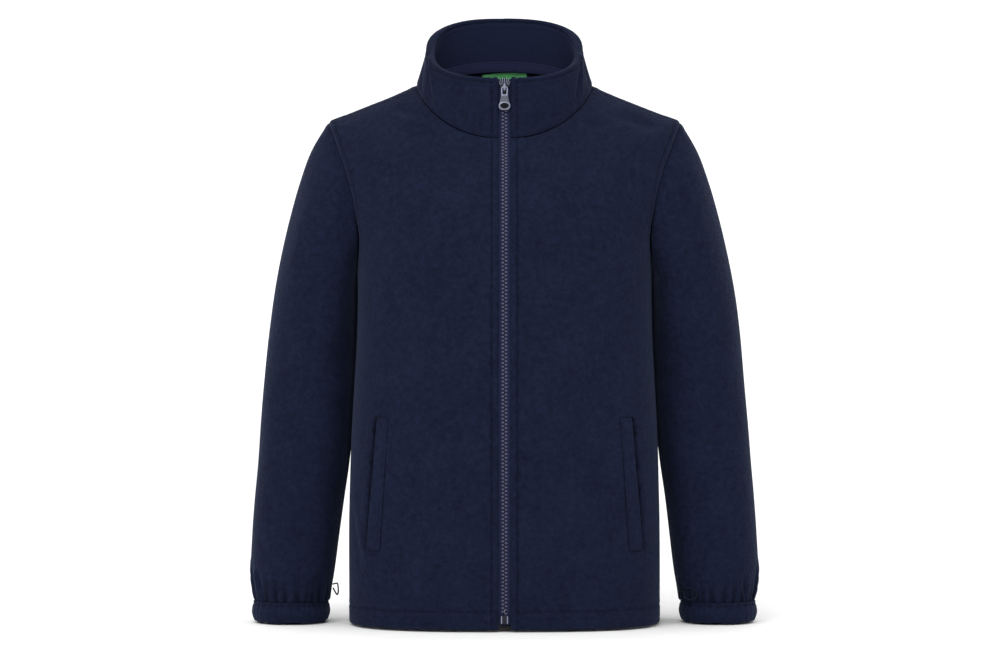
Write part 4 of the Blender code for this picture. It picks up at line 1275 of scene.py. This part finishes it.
def make_cuffs():
    """The elastic casings: a closed section round the cuff, puckered by the gathers."""
    rows = np.array(CUFF_ROWS)
    loop = np.concatenate([rows, rows[:1]])
    run = np.concatenate([[0.0], np.cumsum(np.linalg.norm(np.diff(loop, axis=0), axis=1))])
    even = np.linspace(0, run[-1], 72)[:-1]
    section = cubic(loop, run, np.interp(even, run, np.arange(len(run))))
    angle = np.arange(CUFF_COLUMNS) * 2 * np.pi / CUFF_COLUMNS
    share = angle / (2 * np.pi)
    inset, height = section[:, :1], section[:, 1:]
    outside = np.clip((2.6 - inset) / 2.6, 0, 1) * np.clip((height + 435.4) / 2.0, 0, 1)
    deep = 0.35 + 0.4 * bell(height + 419.5, 4.5)
    drawn = outside * (deep * (0.5 + 0.5 * pleats(share, 36)) - 0.45 * bell(height + 427.5, 4.0))
    drawn = drawn + outside * 0.5 * bell(height - CUFF_STITCH_Z, 0.8)
    lift = 0.35 * pleats(share + 0.2, 9) * np.clip((-430 - height) / 5, 0, 1)
    level, square = height + lift, SLEEVE_ROWS[-1].square
    row = SleeveRow(
        CUFF_OUTER_X, level, CUFF_INNER_X, level, CUFF_CENTRE_Y, CUFF_HALF_DEPTH, square
    )
    rings = sleeve_ring(row, angle, inset + drawn)
    # Painted shade: the casing is painted darker where the gathers draw it in, and 0.12 paler all
    # round as painted light.
    hollow = np.clip(0.45 * drawn, 0, 1) - 0.12
    line = int(np.argmin(np.abs(section[:20, 1] - CUFF_STITCH_Z)))
    path = np.concatenate([rings[line], rings[line, :3]])
    outward = unit((path - path[:-3].mean(axis=0)) * np.array([1.0, 1.0, 0.0]))
    for side, turned in SIDES:
        form = (turned(rings).reshape(-1, 3), ring_faces(rings))
        add_cloth(f"cuff_{side}", "cloth", form, "fleece", "fleece", hollow)
        add_stitches(f"cuff_{side}_stitches", [(turned(path), turned(outward))])


# Collar, neck tape and label --------------------------------------------------------------------


def collar_turns(stations, share):
    """Polar angles round the collar, from the +X front edge, 0, by the back to the other, 1."""
    start = turn_at_width(collar_rows(stations), FRONT_GAP / 2)
    return start + (np.pi - 2 * start) * share


def collar_skin():
    """The collar's two layers as one grid and its outward normals, before any relief.

    The grid goes up the outer layer, over a half-round fold at the rim, and down the inner
    layer. The outer layer's face and normals follow, and then the line on top of the fold.
    """
    places = knots(COLLAR_ROWS)
    low, high = np.interp((COLLAR_START, COLLAR_FOLD), range(RIM + 1), places)
    stations = np.interp(low + graded(high - low, 0.5, 1.3, reach=8.0), places, range(RIM + 1))
    share = graded(COLLAR_LENGTH, 0.5, 1.7)[None, :] / COLLAR_LENGTH
    face, normals = surface(collar_rows, stations, collar_turns(stations, share))
    rim_station = np.array([float(RIM)])
    rim = surface(collar_rows, rim_station, collar_turns(rim_station, share))[0][0]
    whole = 2 * size("cloth") + COLLAR_SPACE
    bend = np.linspace(0, np.pi, 11)[1:-1, None, None]
    over = face[-1] - whole / 2 * (1 - np.cos(bend)) * normals[-1]
    over = over + np.sin(bend) * (rim - face[-1])
    skin = np.concatenate([face, over, (face - whole * normals)[::-1]])
    outward = unit(np.cross(np.gradient(skin, axis=1), np.gradient(skin, axis=0)))
    outward *= np.sign(np.sum(outward[2, 100] * normals[2, 100]))
    return skin, outward, face, normals, len(face) + 4


def make_collar():
    """The stand collar: two layers of cloth, joined by the fold at the rim, and hollow between."""
    skin, outward, face, normals, top = collar_skin()
    cloth = size("cloth")
    run, length_along = run_along(skin, 0), run_along(skin, 1)
    rim_gap = np.abs(run - run[top])
    seam_gap = np.minimum(run, run[-1] - run)
    ends = np.minimum(length_along, run_along(skin, 1, from_end=True))
    whole_length = length_along[:, -1:]
    near_start = length_along < whole_length / 2
    across = np.where(near_start, length_along, length_along - whole_length)
    relief = stitched(rim_gap, size("collar_stitch"), across, 0.5) * np.clip(ends - 3, 0, 1)
    relief += stitched(ends, size("zip_stitch"), run, 0.55) * np.clip(seam_gap - 1, 0, 1)
    relief += 0.3 * bell(ends - 2.6, 1.7) + 0.22 * bell(rim_gap - 2.6, 2.2)
    relief += 0.3 * bell(seam_gap - 3.6, 2.2) * (np.arange(len(skin)) < top)[:, None]
    roll = np.minimum(-0.4 * bell(seam_gap, 0.9), 0.85 * folded_edge(ends))
    outside = (np.arange(len(skin)) <= top)[:, None]
    fold = np.where(outside, creased(across, run, COLLAR_CREASES), 0.0)
    quiet = np.clip(seam_gap / 9, 0, 1)
    fold = fold + quiet * uneven(across, run + 40.0 * ~outside, 0.35)
    skin = skin + (relief + roll + fold)[..., None] * outward
    kept = slice(None, None, 3)
    near, far = (face - (cloth + COLLAR_SPACE) * normals)[kept], (face - cloth * normals)[kept]
    section = np.concatenate([skin, near, far[::-1]])
    index = numbers(section)
    faces = [grid_faces(np.concatenate([index, index[:1]])), index[:, :1].T, index[::-1, -1:].T]
    # Painted light on the inner layer, paler to offset its shade, and painted shade in the outer
    # grooves.
    painted_light_inside = 0.4 * np.clip((run - run[top]) / 6, 0, 1)
    hollow = np.clip(-0.9 * relief, 0, 1) - painted_light_inside
    hollow = np.concatenate([hollow.ravel(), np.zeros(2 * near[..., 0].size)])
    looks = (finish("fleece_collar"), "fleece", ("collar",))
    piece = add_piece("collar_cloth", section.reshape(-1, 3), faces, *looks, hollow=hollow)
    make_neck_tape()
    add_stitches("collar_stitches", collar_stitch_rows(skin, outward, rim_gap, ends, top))


def collar_stitch_rows(skin, outward, rim_gap, ends, top):
    """The collar's rows of stitches: below the rim on both layers, and beside the zip."""
    kept = ends[0] > 7
    columns = (skin.transpose(1, 0, 2), outward.transpose(1, 0, 2))
    rows = []
    for part in (slice(top, None), slice(top, None, -1)):
        grids = (grid[:, part] for grid in columns)
        path = crossing(rim_gap.T[:, part], size("collar_stitch"), *grids)
        rows.append([line[kept] for line in path])
    lines = slice(2, top - 8)
    for flip in (slice(0, 60), slice(None, -60, -1)):
        grids = (skin[lines, flip], outward[lines, flip])
        rows.append(crossing(ends[lines, flip], size("zip_stitch"), *grids))
    return rows


def make_neck_tape():
    """The narrow tape over the neck seam inside the back, stitched along both its edges."""
    stations = np.linspace(COLLAR_START, 0.5, 12)
    share = np.linspace(8 / 28, 20 / 28, 150)[None, :]
    face, normals = surface(collar_rows, stations, collar_turns(stations, share))
    below = np.array([4.0, 2.7, 1.4])[:, None, None] * unit(face[0] - face[1])
    face = np.concatenate([face[0] + below, face])
    normals = np.concatenate([np.repeat(normals[:1], 3, axis=0), normals])
    edge = np.minimum(run_along(face, 0), run_along(face, 0, from_end=True))
    thin = 0.3 * bell(edge, 0.5)[..., None]
    near = face - (NECK_TAPE_OUT + thin) * normals
    far = face - (NECK_TAPE_IN - thin) * normals
    piece = add_piece(
        "neck_tape_band", *shell(near, far), finish("tape"), "tape", ("neck_tape",)
    )
    add_stitches("neck_tape_stitches", [(far[line], -normals[line]) for line in (2, -3)])
    return piece


def make_label():
    """The plain woven label below the neck seam: a thin satin patch with turned-in edges."""
    stations = np.linspace(TIP, NECK, 81)
    centre = body_rows(stations).back_z[:, 0]
    across = np.linspace(-LABEL_HALF_WIDTH, LABEL_HALF_WIDTH, 60)[None, :]
    down = np.linspace(0, LABEL_HEIGHT, 44)[:, None]
    heights = LABEL_TOP_Z + LABEL_SLOPE * across - down
    station = np.interp(heights, centre, stations).ravel()
    width = np.broadcast_to(np.abs(across), heights.shape).reshape(-1, 1)
    rows = body_rows(station)
    reach = rows.back * (1 - (width / rows.half_width) ** rows.square) ** (1 / rows.square)
    signed = np.broadcast_to(across, heights.shape).reshape(-1, 1)
    flat, out = surface(body_rows, station, np.arctan2(reach, signed))
    face, normals = (part.reshape(*heights.shape, 3) for part in (flat, out))
    cloth = size("cloth")
    edge = np.minimum(run_along(face, 1), run_along(face, 1, from_end=True))
    edge = np.minimum(edge, np.minimum(run_along(face, 0), run_along(face, 0, from_end=True)))
    thin = 0.3 * bell(edge, 0.7)
    wave = 0.12 * np.sin(across / 4.3) + 0.1 * np.sin(down / 5.1) - 0.15 * bell(edge - 2.4, 0.6)
    near = face - (cloth + SEAM + thin)[..., None] * normals
    far = face - (cloth + SEAM + LABEL_THICK - thin + wave)[..., None] * normals
    piece = add_piece("label_patch", *shell(near, far), finish("label"), "label", ("neck_label",))
    sides = [(far[5, 4:-4], -normals[5, 4:-4])]
    sides += [(far[5:-5, column], -normals[5:-5, column]) for column in (4, -5)]
    add_stitches("label_stitches", sides)


# Pocket welts -----------------------------------------------------------------------------------


def front_at(widths, heights):
    """Points and normals of the front's outer face below the armpit, where rings are level."""
    stations = np.linspace(0, ARMPIT, 241)
    station = np.interp(heights, body_rows(stations).side_z[:, 0], stations)
    return surface(body_rows, station, turn_at_width(body_rows(station), widths))


def make_welts():
    """The welts: strips folded at the slit, sewn down along their inner edge and both ends."""
    share = graded(WELT_LENGTH, 0.4, 1.6, reach=6.0) / WELT_LENGTH
    side = graded(WELT_MIDDLE_WIDTH, 0.3, 0.9, reach=3.0)[None, :] / WELT_MIDDLE_WIDTH
    heights = WELT_TOP_Z + (WELT_BOTTOM_Z - WELT_TOP_Z) * share
    slit, width = slit_and_width(share)
    face, normals = front_at(slit[:, None] - width[:, None] * side, heights)
    down = WELT_LENGTH * np.minimum(share, 1 - share)[:, None]
    inward = width[:, None] * side
    ends = 1 - np.exp(-((down / 1.5) ** 2))
    fold = np.sqrt(np.clip(1 - (1 - inward / 1.2) ** 2, 0.02, 1)) * (inward < 1.2) + (inward >= 1.2)
    sewn = 1 - 0.75 * bell(width[:, None] - inward, 2.0)
    high = WELT_THICK * (0.15 + 0.85 * ends * fold * sewn)
    high = high - 0.35 * bell(width[:, None] - inward - 1.5, 0.6) * ends
    wave = 0.12 * np.sin(WELT_LENGTH * share / 8.5)[:, None]
    high = high - 0.3 * bell(down - WELT_END_STITCHES[0], 0.6) + wave * ends
    near = face + SEAM * normals
    far = face + (SEAM + np.maximum(high, 0.15))[..., None] * normals
    line = int(np.argmin(np.abs(side[0] * WELT_MIDDLE_WIDTH - WELT_SEWN_AT)))
    top, low = (int(np.argmin(np.abs(share * WELT_LENGTH - at))) for at in WELT_END_STITCHES)
    rows = [(far[2:-2, line], normals[2:-2, line])]
    rows += [(far[end, 1:], normals[end, 1:]) for end in (top, low)]
    for name, turned in SIDES:
        form = shell(turned(far), turned(near))
        add_cloth(f"welt_{name}", "strip", form, "fleece_smooth", "fleece")
        add_stitches(f"welt_{name}_stitches", [(turned(p), turned(n)) for p, n in rows])


# Zip --------------------------------------------------------------------------------------------


def zip_face(widths, levels):
    """Points and normals beside the centre line, read at levels of the body and the collar."""
    widths = np.asarray(widths, float)[None, :]
    parts = []
    for rows_of, stations in (
        (body_rows, np.arange(0, NECK + 0.1, 0.25)),
        (collar_rows, np.arange(0.25, RIM + 0.1, 0.25)),
    ):
        parts.append(surface(rows_of, stations, turn_at_width(rows_of(stations), widths)))
    face, normals = (np.concatenate(part) for part in zip(*parts))
    both = np.concatenate([face, normals], axis=-1)
    heights = face[:, 0, 2]
    read = np.stack([read_at(levels, heights, both[:, k]) for k in range(both.shape[1])], axis=1)
    return read[..., :3], unit(read[..., 3:])


def make_zip_tapes():
    """The two tapes: thin strips behind the front edges, with a corded edge at the teeth."""
    levels = np.linspace(TAPE_LOW, TAPE_HIGH, 260)
    widths = np.array([0.12, 1.6, 3.0, 3.4, 3.8, 4.2, 5.0, 7.0, 10.0, 13.0, TAPE_EDGE])
    face, normals = zip_face(widths, levels)
    cord = 0.45 * bell(widths - 3.7, 0.45)[None, :, None]
    weave = 0.05 * np.sin(levels * 2.9)[:, None, None]
    far = face - (TAPE_OUT - cord - weave * (cord > 0.05)) * normals
    near = face - TAPE_IN * normals
    for name, turned in SIDES:
        form = shell(turned(far), turned(near))
        add_cloth(f"zip_tape_{name}", "weave", form, "tape", "tape")


def tooth():
    """One moulded tooth: superellipse sections along it, with a domed head and a narrow neck."""
    share = np.array([-1.0, -0.86, -0.45, 0.0, 0.4, 0.75, 0.95, 1.0])[:, None]
    reach = np.sqrt(np.clip(1 - np.abs(share) ** 5, 0.12, 1))
    head = 0.82 + 0.2 * bell(share - 0.45, 0.5)
    angle = np.arange(10)[None, :] * np.pi / 5
    round_off = 2 / 2.6
    out = 1.15 * reach * squared_off(np.cos(angle), round_off)
    up = reach * head * squared_off(np.sin(angle), round_off)
    across = np.broadcast_to(1.36 - 1.4 * share, out.shape)
    return looped(np.stack([across, out, up], axis=-1))


def make_teeth():
    """The two rows of teeth, one form at an even pitch, the second row half a pitch lower."""
    pitch = size("tooth_pitch")
    levels = np.linspace(BOX_TOP + 0.3, CHAIN_HIGH, 600)
    face, normals = (part[:, 0] for part in zip_face((1.5,), levels))
    path = face - (CHAIN_OUT + CHAIN_IN) / 2 * normals
    run = run_along(path, 0)
    centred = np.array([0.0, 1.0, 1.0])
    for (name, turned), start in zip(SIDES, (1.15, 1.15 + pitch / 2)):
        at = np.arange(start, run[-1] - 1.1, pitch)
        places = centred * read_at(at, run, path)
        up = unit(centred * read_at(at + 0.4, run, path) - places)
        out = unit(centred * read_at(at, run, normals))
        across = np.broadcast_to(np.array([1.0, 0.0, 0.0]), out.shape)
        points, faces = repeated(tooth(), places, across, out, up)
        plastic = (finish("teeth"), "zip_teeth", (f"zip_teeth_{name}",))
        add_piece(f"zip_teeth_{name}_row", turned(points), faces, *plastic)


def zip_frame(height):
    """A place on the front's outer face at centre front, with its directions out and up."""
    face, _ = zip_face((0.0,), np.array([height - 6.0, height, height + 6.0]))
    up = unit(face[2, 0] - face[0, 0])
    return face[1, 0], np.cross((1.0, 0.0, 0.0), up), up


def framed(points, height, out_by=0.0, up_by=0.0):
    """Points given as across, out and up, set in the zip's frame at a height."""
    middle, out, up = zip_frame(height)
    middle = middle + out_by * out + up_by * up
    across = points[..., :1] * np.array([1.0, 0.0, 0.0])
    return middle + across + points[..., 1:2] * out + points[..., 2:] * up


def plate(half_widths, ups, out_low, out_high, relief=None, columns=25):
    """A plate with softly rounded edges, as wide at each height as the half widths say."""
    share = np.sin(np.linspace(-np.pi / 2, np.pi / 2, columns))[None, :]
    along = np.linspace(-1, 1, len(ups))[:, None]
    across = half_widths[:, None] * share
    round_off = ((1 - np.abs(share) ** 6) * (1 - np.abs(along) ** 10)) ** 0.4
    middle, half = (out_low + out_high) / 2, (out_high - out_low) / 2
    proud = 0.0 if relief is None else relief(across, ups[:, None])
    up = np.broadcast_to(ups[:, None], across.shape)
    front = np.stack([across, middle + (half + proud) * (0.1 + 0.9 * round_off), up], axis=-1)
    back = np.stack([across, middle - half * (0.1 + 0.9 * round_off), up], axis=-1)
    return shell(front, back)


def swept(path, across_half, out_half, steps=12, square=3.0):
    """A bar of superellipse section along a path in the middle plane of the zip."""
    tangent = unit(np.gradient(path, axis=0))
    side = np.array([1.0, 0.0, 0.0])
    lift = unit(np.cross(tangent, side))
    angle = np.arange(steps) * 2 * np.pi / steps
    one, two = squared_off(np.cos(angle), 2 / square), squared_off(np.sin(angle), 2 / square)
    rings = path[:, None] + across_half * one[None, :, None] * side
    return looped(rings + out_half * two[None, :, None] * lift[:, None])


def flutes(across, up):
    """The crown's flutes: a wave over the angle at a point below, 1 on a ridge and -1 between."""
    fan = np.arctan2(across, up + 7.5) / np.arctan2(4.4, 13.0)
    return np.cos(FLUTES * np.pi * fan)


def slider_relief(across, up):
    """The front plate's face: flutes on its crown, a slight dome, and a ridge up the middle."""
    ridges = 0.42 * flutes(across, up) * np.clip((up + 0.5) / 2.5, 0, 1)
    return ridges + 0.45 * (1 - np.clip(np.abs(across) / 4.6, 0, 1) ** 2) + 0.2 * bell(across, 0.5)


def make_slider():
    """The slider: a fluted front plate, a plain back plate, the wedge and the pull's bridge."""
    ups = np.sin(np.linspace(-np.pi / 2, np.pi / 2, 41)) * SLIDER_HALF
    waist = 3.5 + 0.95 * np.clip((ups + 1.5) / 5.0, 0, 1) ** 1.3
    waist = waist * (1 - 0.42 * np.clip((np.abs(ups) - 3.4) / 2.2, 0, 1) ** 2)
    wedge = np.linspace(0.2, 5.2, 9)
    arch = np.linspace(0, 1, 21)
    rise = np.sin(np.pi * np.clip(arch, 0, 1)) ** 0.45
    bridge = np.stack([0 * arch, -0.6 + 3.1 * rise, -4.2 + 7.2 * arch], axis=-1)
    parts = [
        plate(waist, ups, *FRONT_PLATE, slider_relief, 61),
        plate(waist, ups, *BACK_PLATE),
        plate(0.45 + 0.11 * wedge, wedge, *WEDGE),
        swept(bridge, 0.9, 0.5),
    ]
    points, faces = joined(parts)
    across, out, up = points.T
    # Painted highlights on the flutes' ridges, the bridge and the front plate's face; painted shade
    # between the flutes and on the plates below and behind.
    crown = np.clip((up + 0.5) / 1.5, 0, 1)
    fluted = -1.3 * flutes(across, up) + 0.25
    plain = np.where(out < 0.35, 0.85, -0.7)
    hollow = np.clip(fluted * crown + plain * (1 - crown), -0.8, 1)
    metal = (finish("metal"), "zip_metal", ("zip_slider",))
    add_piece("zip_slider_body", framed(points, SLIDER_Z), faces, *metal, hollow=hollow)


def recess_place(across, up):
    """How far out a point of the grip lies: 0 in the oval recess's middle, 1 on its edge."""
    deep = (up - RECESS_CENTRE) / RECESS_HALF_HEIGHT
    return np.sqrt((across / RECESS_HALF_WIDTH) ** 2 + deep**2)


def pull_relief(across, up):
    """The grip's face: cross ribs on the waist, then an oval recess in a raised rim."""
    ribs = 0.16 * np.cos(2 * np.pi * (up + 9.9) / 1.35) * np.clip((12.6 + up) / 0.8, 0, 1)
    ribs = ribs * np.clip((-7.4 - up) / 0.8, 0, 1)
    oval = recess_place(across, up)
    return ribs + 0.3 * bell(oval - 1.05, 0.18) - 0.28 * np.clip((0.95 - oval) / 0.2, 0, 1)


def make_pull():
    """The pull: a bar bent round its eye, and the grip that widens below it."""
    turn = (2 * np.pi * np.linspace(0, 1, 41) + np.pi / 2)[:-1]
    round_off = 2 / 3.4
    across = EYE_HALF_WIDTH * squared_off(np.cos(turn), round_off)
    above = EYE_HALF_HEIGHT * squared_off(np.sin(turn), round_off)
    angle = np.arange(10) * np.pi / 5
    centre = np.stack([across, 0 * across, EYE_CENTRE + above], axis=-1)
    slopes = (across / EYE_HALF_WIDTH**2, 0 * across, above / EYE_HALF_HEIGHT**2)
    outward = unit(np.stack(slopes, axis=-1))
    rings = centre[:, None] + 0.62 * np.cos(angle)[None, :, None] * outward[:, None]
    rings = rings + 0.6 * np.sin(angle)[None, :, None] * np.array([0.0, 1.0, 0.0])
    eye = (rings.reshape(-1, 3), ring_faces(rings))
    ups = GRIP_CENTRE + GRIP_HALF * np.sin(np.linspace(-np.pi / 2, np.pi / 2, 61))
    half = np.interp(ups, *np.transpose(GRIP_HALF_WIDTHS))
    points, faces = joined([eye, plate(half, ups, -0.6, 0.6, pull_relief, 33)])
    oval = recess_place(points[:, 0], points[:, 2])
    # Painted shade in the oval recess, painted highlights on its rim and on the eye.
    hollow = np.clip((1.04 - oval) / 0.1, 0, 1) - 0.8 * bell(oval - 1.2, 0.16)
    hollow = hollow * (points[:, 2] < -6.9) - 0.8 * (points[:, 2] > -7.2)
    hung = framed(points, SLIDER_Z, PULL_AXIS_OUT, PULL_AXIS_UP)
    metal = (finish("metal"), "zip_metal", ("pull_tab",))
    add_piece("pull_tab_grip", hung, faces, *metal, body="pull", hollow=hollow)


def make_zip_box():
    """The retainer box at the zip's foot, with its two upright posts."""
    middle, half = (BOX_TOP + BOX_BOTTOM) / 2, (BOX_TOP - BOX_BOTTOM) / 2
    ups = np.sin(np.linspace(-np.pi / 2, np.pi / 2, 25)) * half
    parts = [plate(np.full(25, BOX_HALF_WIDTH), ups, *BOX_PLATE)]
    post = np.stack([0 * ups, 0 * ups + BOX_PLATE[1], ups * 0.9], axis=-1)
    for across in (-POST_AT, POST_AT):
        points, faces = swept(post, 0.5, 0.34)
        parts.append((points + np.array([across, 0.0, 0.0]), faces))
    points, faces = joined(parts)
    on_post = (np.abs(np.abs(points[:, 0]) - POST_AT) < 0.55) * (points[:, 1] > -0.7)
    metal = (finish("metal"), "zip_metal", ("zip_box",))
    # Painted shade on the block and painted highlights on the two posts.
    add_piece("zip_box_block", framed(points, middle), faces, *metal, hollow=0.75 - 1.5 * on_post)


def make_bartack():
    """The small bar of close stitches at the zip's foot, on the wearer's right."""
    widths = BARTACK_AT + BARTACK_STEP * np.arange(BARTACK_BARS)
    middle, normals = front_at(widths[None, :], np.array([BARTACK_Z]))
    line = np.array([[0.0, 0.0, -8.0], [0.0, 0.0, 8.0]])
    forward = np.array([[0.0, -1.0, 0.0], [0.0, -1.0, 0.0]])
    rod, rod_faces = stitches(line, forward, 9.0, BARTACK_LENGTH, BARTACK_THREAD)
    rod = (rod - rod.mean(axis=0), rod_faces)
    out = normals[0]
    across = np.broadcast_to(np.array([1.0, 0.0, 0.0]), out.shape)
    points, faces = repeated(rod, middle[0] + 0.45 * out, across, out, unit(np.cross(across, out)))
    add_piece("bartack_stitches", mirrored(points), faces, finish("tape"), None)


# Elastic loops ----------------------------------------------------------------------------------


def make_loop(name, points):
    """An elastic loop at a cuff: a cord on a Catmull-Rom curve through its chosen points."""
    chosen = np.array(points)
    steps = np.linspace(0, len(chosen) - 1, 90)
    padded = np.vstack([2 * chosen[0] - chosen[1], chosen, 2 * chosen[-1] - chosen[-2]])
    first = np.clip(np.floor(steps).astype(int), 0, len(chosen) - 2)
    part = (steps - first)[:, None]
    before, start, end, after = (padded[first + k] for k in range(4))
    path = 0.5 * (
        2 * start
        + (end - before) * part
        + (2 * before - 5 * start + 4 * end - after) * part**2
        + (3 * start - before - 3 * end + after) * part**3
    )
    curve = bpy.data.curves.new(f"{name}_cord", "CURVE")
    curve.dimensions = "3D"
    curve.bevel_depth = LOOP_DIAMETER / 2 * MM
    curve.bevel_resolution = 3
    curve.use_fill_caps = True
    line = curve.splines.new("POLY")
    line.points.add(len(path) - 1)
    flat = np.concatenate([path * MM, np.ones((len(path), 1))], axis=1)
    line.points.foreach_set("co", flat.ravel())
    curve.materials.append(finish("elastic"))
    cord = put_in(f"{name}_cord", curve)
    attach(cord, "jacket")
    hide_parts(name)
    float(run_along(path, 0)[-1]) * MM


# Stage ------------------------------------------------------------------------------------------


def make_camera():
    """A level camera straight in front of the jacket."""
    stage = bpy.context.scene.jacket_stage
    data = bpy.data.cameras.new("camera")
    data.sensor_width = FILM_WIDTH
    data.lens = stage.lens
    data.clip_end = 50.0
    camera = put_in("camera", data)
    camera.location = (CAMERA_X, -stage.camera_distance, stage.camera_height)
    camera.rotation_euler = (math.radians(90), 0.0, 0.0)
    bpy.context.scene.camera = camera


def make_stage():
    """A plain pale floor just below the cloth, even white light, and one large soft lamp."""
    stage = bpy.context.scene.jacket_stage
    low = CAD_BOX[0][2] - stage.floor_gap
    axis = np.linspace(-FLOOR_REACH, FLOOR_REACH, 25)
    x, y = np.meshgrid(axis, axis)
    points = np.stack([x, y, np.full_like(x, low)], axis=-1).reshape(-1, 3)
    index = np.arange(len(points)).reshape(x.shape)
    mesh = bpy.data.meshes.new("floor")
    mesh.from_pydata(points.tolist(), [], grid_faces(index).tolist())
    made, tree, shader = new_finish("floor_paint", {"Roughness": 0.85, "Specular IOR Level": 0.1})
    grain = noise(tree, place(tree), 40.0, 3.0)
    tint = ramp(tree, grain, ((0.3, (0.90, 0.90, 0.90)), (0.7, (0.93, 0.93, 0.93))))
    tree.links.new(tint, shader.inputs["Base Color"])
    mesh.materials.append(made)
    put_in("floor", mesh)
    world = bpy.data.worlds.new("sky")
    world.use_nodes = True
    background = world.node_tree.nodes["Background"]
    background.inputs["Color"].default_value = (1.0, 1.0, 1.0, 1.0)
    background.inputs["Strength"].default_value = stage.sky
    bpy.context.scene.world = world
    lamp = bpy.data.lights.new("key_light", "AREA")
    lamp.shape = "RECTANGLE"
    lamp.size, lamp.size_y = KEY_SIZE
    lamp.energy = stage.key
    key = put_in("key_light", lamp)
    key.location = KEY_PLACE
    key.rotation_euler = [math.radians(angle) for angle in KEY_TURN]
    bpy.context.scene.view_settings.view_transform = "Standard"


# Operators, panel and registration --------------------------------------------------------------


def make_cuff_loops():
    """The two elastic loops, one at each cuff."""
    make_loop("cuff_loop_left", LOOP_LEFT)
    make_loop("cuff_loop_right", LOOP_RIGHT)


class MakeCamera(bpy.types.Operator):
    """Make the level camera in front of the jacket"""

    bl_idname = "jacket.camera"
    bl_label = "Camera"

    def execute(self, context):
        make_camera()
        return {"FINISHED"}


class MakeCuffLoops(bpy.types.Operator):
    """Make the two elastic loops at the cuffs"""

    bl_idname = "jacket.cuff_loops"
    bl_label = "Cuff loops"

    def execute(self, context):
        make_cuff_loops()
        return {"FINISHED"}


class MakeFronts(bpy.types.Operator):
    """Make the two fronts and their stitches"""

    bl_idname = "jacket.fronts"
    bl_label = "Fronts"

    def execute(self, context):
        make_fronts()
        return {"FINISHED"}


class MakeBack(bpy.types.Operator):
    """Make the back and its stitches"""

    bl_idname = "jacket.back"
    bl_label = "Back"

    def execute(self, context):
        make_back()
        return {"FINISHED"}


class MakeSleeves(bpy.types.Operator):
    """Make the two sleeves"""

    bl_idname = "jacket.sleeves"
    bl_label = "Sleeves"

    def execute(self, context):
        make_sleeves()
        return {"FINISHED"}


class MakeCuffs(bpy.types.Operator):
    """Make the elastic casings at the sleeves' ends"""

    bl_idname = "jacket.cuffs"
    bl_label = "Cuffs"

    def execute(self, context):
        make_cuffs()
        return {"FINISHED"}


class MakeCollar(bpy.types.Operator):
    """Make the stand collar, the neck tape and the label"""

    bl_idname = "jacket.collar"
    bl_label = "Collar"

    def execute(self, context):
        make_collar()
        make_label()
        return {"FINISHED"}


class MakeWelts(bpy.types.Operator):
    """Make the two pocket welts and their stitches"""

    bl_idname = "jacket.welts"
    bl_label = "Pocket welts"

    def execute(self, context):
        make_welts()
        return {"FINISHED"}


class MakeZip(bpy.types.Operator):
    """Make the zip's tapes, teeth, slider, pull, box and bartack"""

    bl_idname = "jacket.zip"
    bl_label = "Zip"

    def execute(self, context):
        make_zip_tapes()
        make_teeth()
        make_slider()
        make_pull()
        make_zip_box()
        make_bartack()
        return {"FINISHED"}


class MakeStage(bpy.types.Operator):
    """Make the pale floor, the even white light and the soft lamp"""

    bl_idname = "jacket.stage"
    bl_label = "Stage"

    def execute(self, context):
        make_stage()
        return {"FINISHED"}


OPERATORS = (
    MakeCamera,
    MakeCuffLoops,
    MakeFronts,
    MakeBack,
    MakeSleeves,
    MakeCuffs,
    MakeCollar,
    MakeWelts,
    MakeZip,
    MakeStage,
)


class JacketPanel(bpy.types.Panel):
    """The jacket's sizes, colours, stage and pieces in the sidebar"""

    bl_idname = "VIEW3D_PT_jacket"
    bl_label = "Fleece zip jacket"
    bl_space_type = "VIEW_3D"
    bl_region_type = "UI"
    bl_category = "Jacket"

    def draw(self, context):
        scene = context.scene
        for group in (scene.jacket_sizes, scene.jacket_colours, scene.jacket_stage):
            box = self.layout.box()
            for key in type(group).__annotations__:
                box.prop(group, key)
        for operator in OPERATORS:
            self.layout.operator(operator.bl_idname)


GROUPS = {
    "jacket_sizes": JacketSizes,
    "jacket_colours": JacketColours,
    "jacket_stage": JacketStage,
}


def register():
    """Adds the sizes and colours, the operators and the panel."""
    for name, group in GROUPS.items():
        bpy.utils.register_class(group)
        setattr(bpy.types.Scene, name, bpy.props.PointerProperty(type=group))
    for item in (*OPERATORS, JacketPanel):
        bpy.utils.register_class(item)


def unregister():
    """Takes the panel, the operators and the sizes and colours away again."""
    for item in (JacketPanel, *reversed(OPERATORS)):
        bpy.utils.unregister_class(item)
    for name, group in reversed(GROUPS.items()):
        delattr(bpy.types.Scene, name)
        bpy.utils.unregister_class(group)


def main():
    """Makes every piece in order."""
    register()
    bpy.ops.jacket.camera()
    bpy.ops.jacket.cuff_loops()
    bpy.ops.jacket.fronts()
    bpy.ops.jacket.back()
    bpy.ops.jacket.sleeves()
    bpy.ops.jacket.cuffs()
    bpy.ops.jacket.collar()
    bpy.ops.jacket.welts()
    bpy.ops.jacket.zip()
    bpy.ops.jacket.stage()


if __name__ == "__main__":
    main()
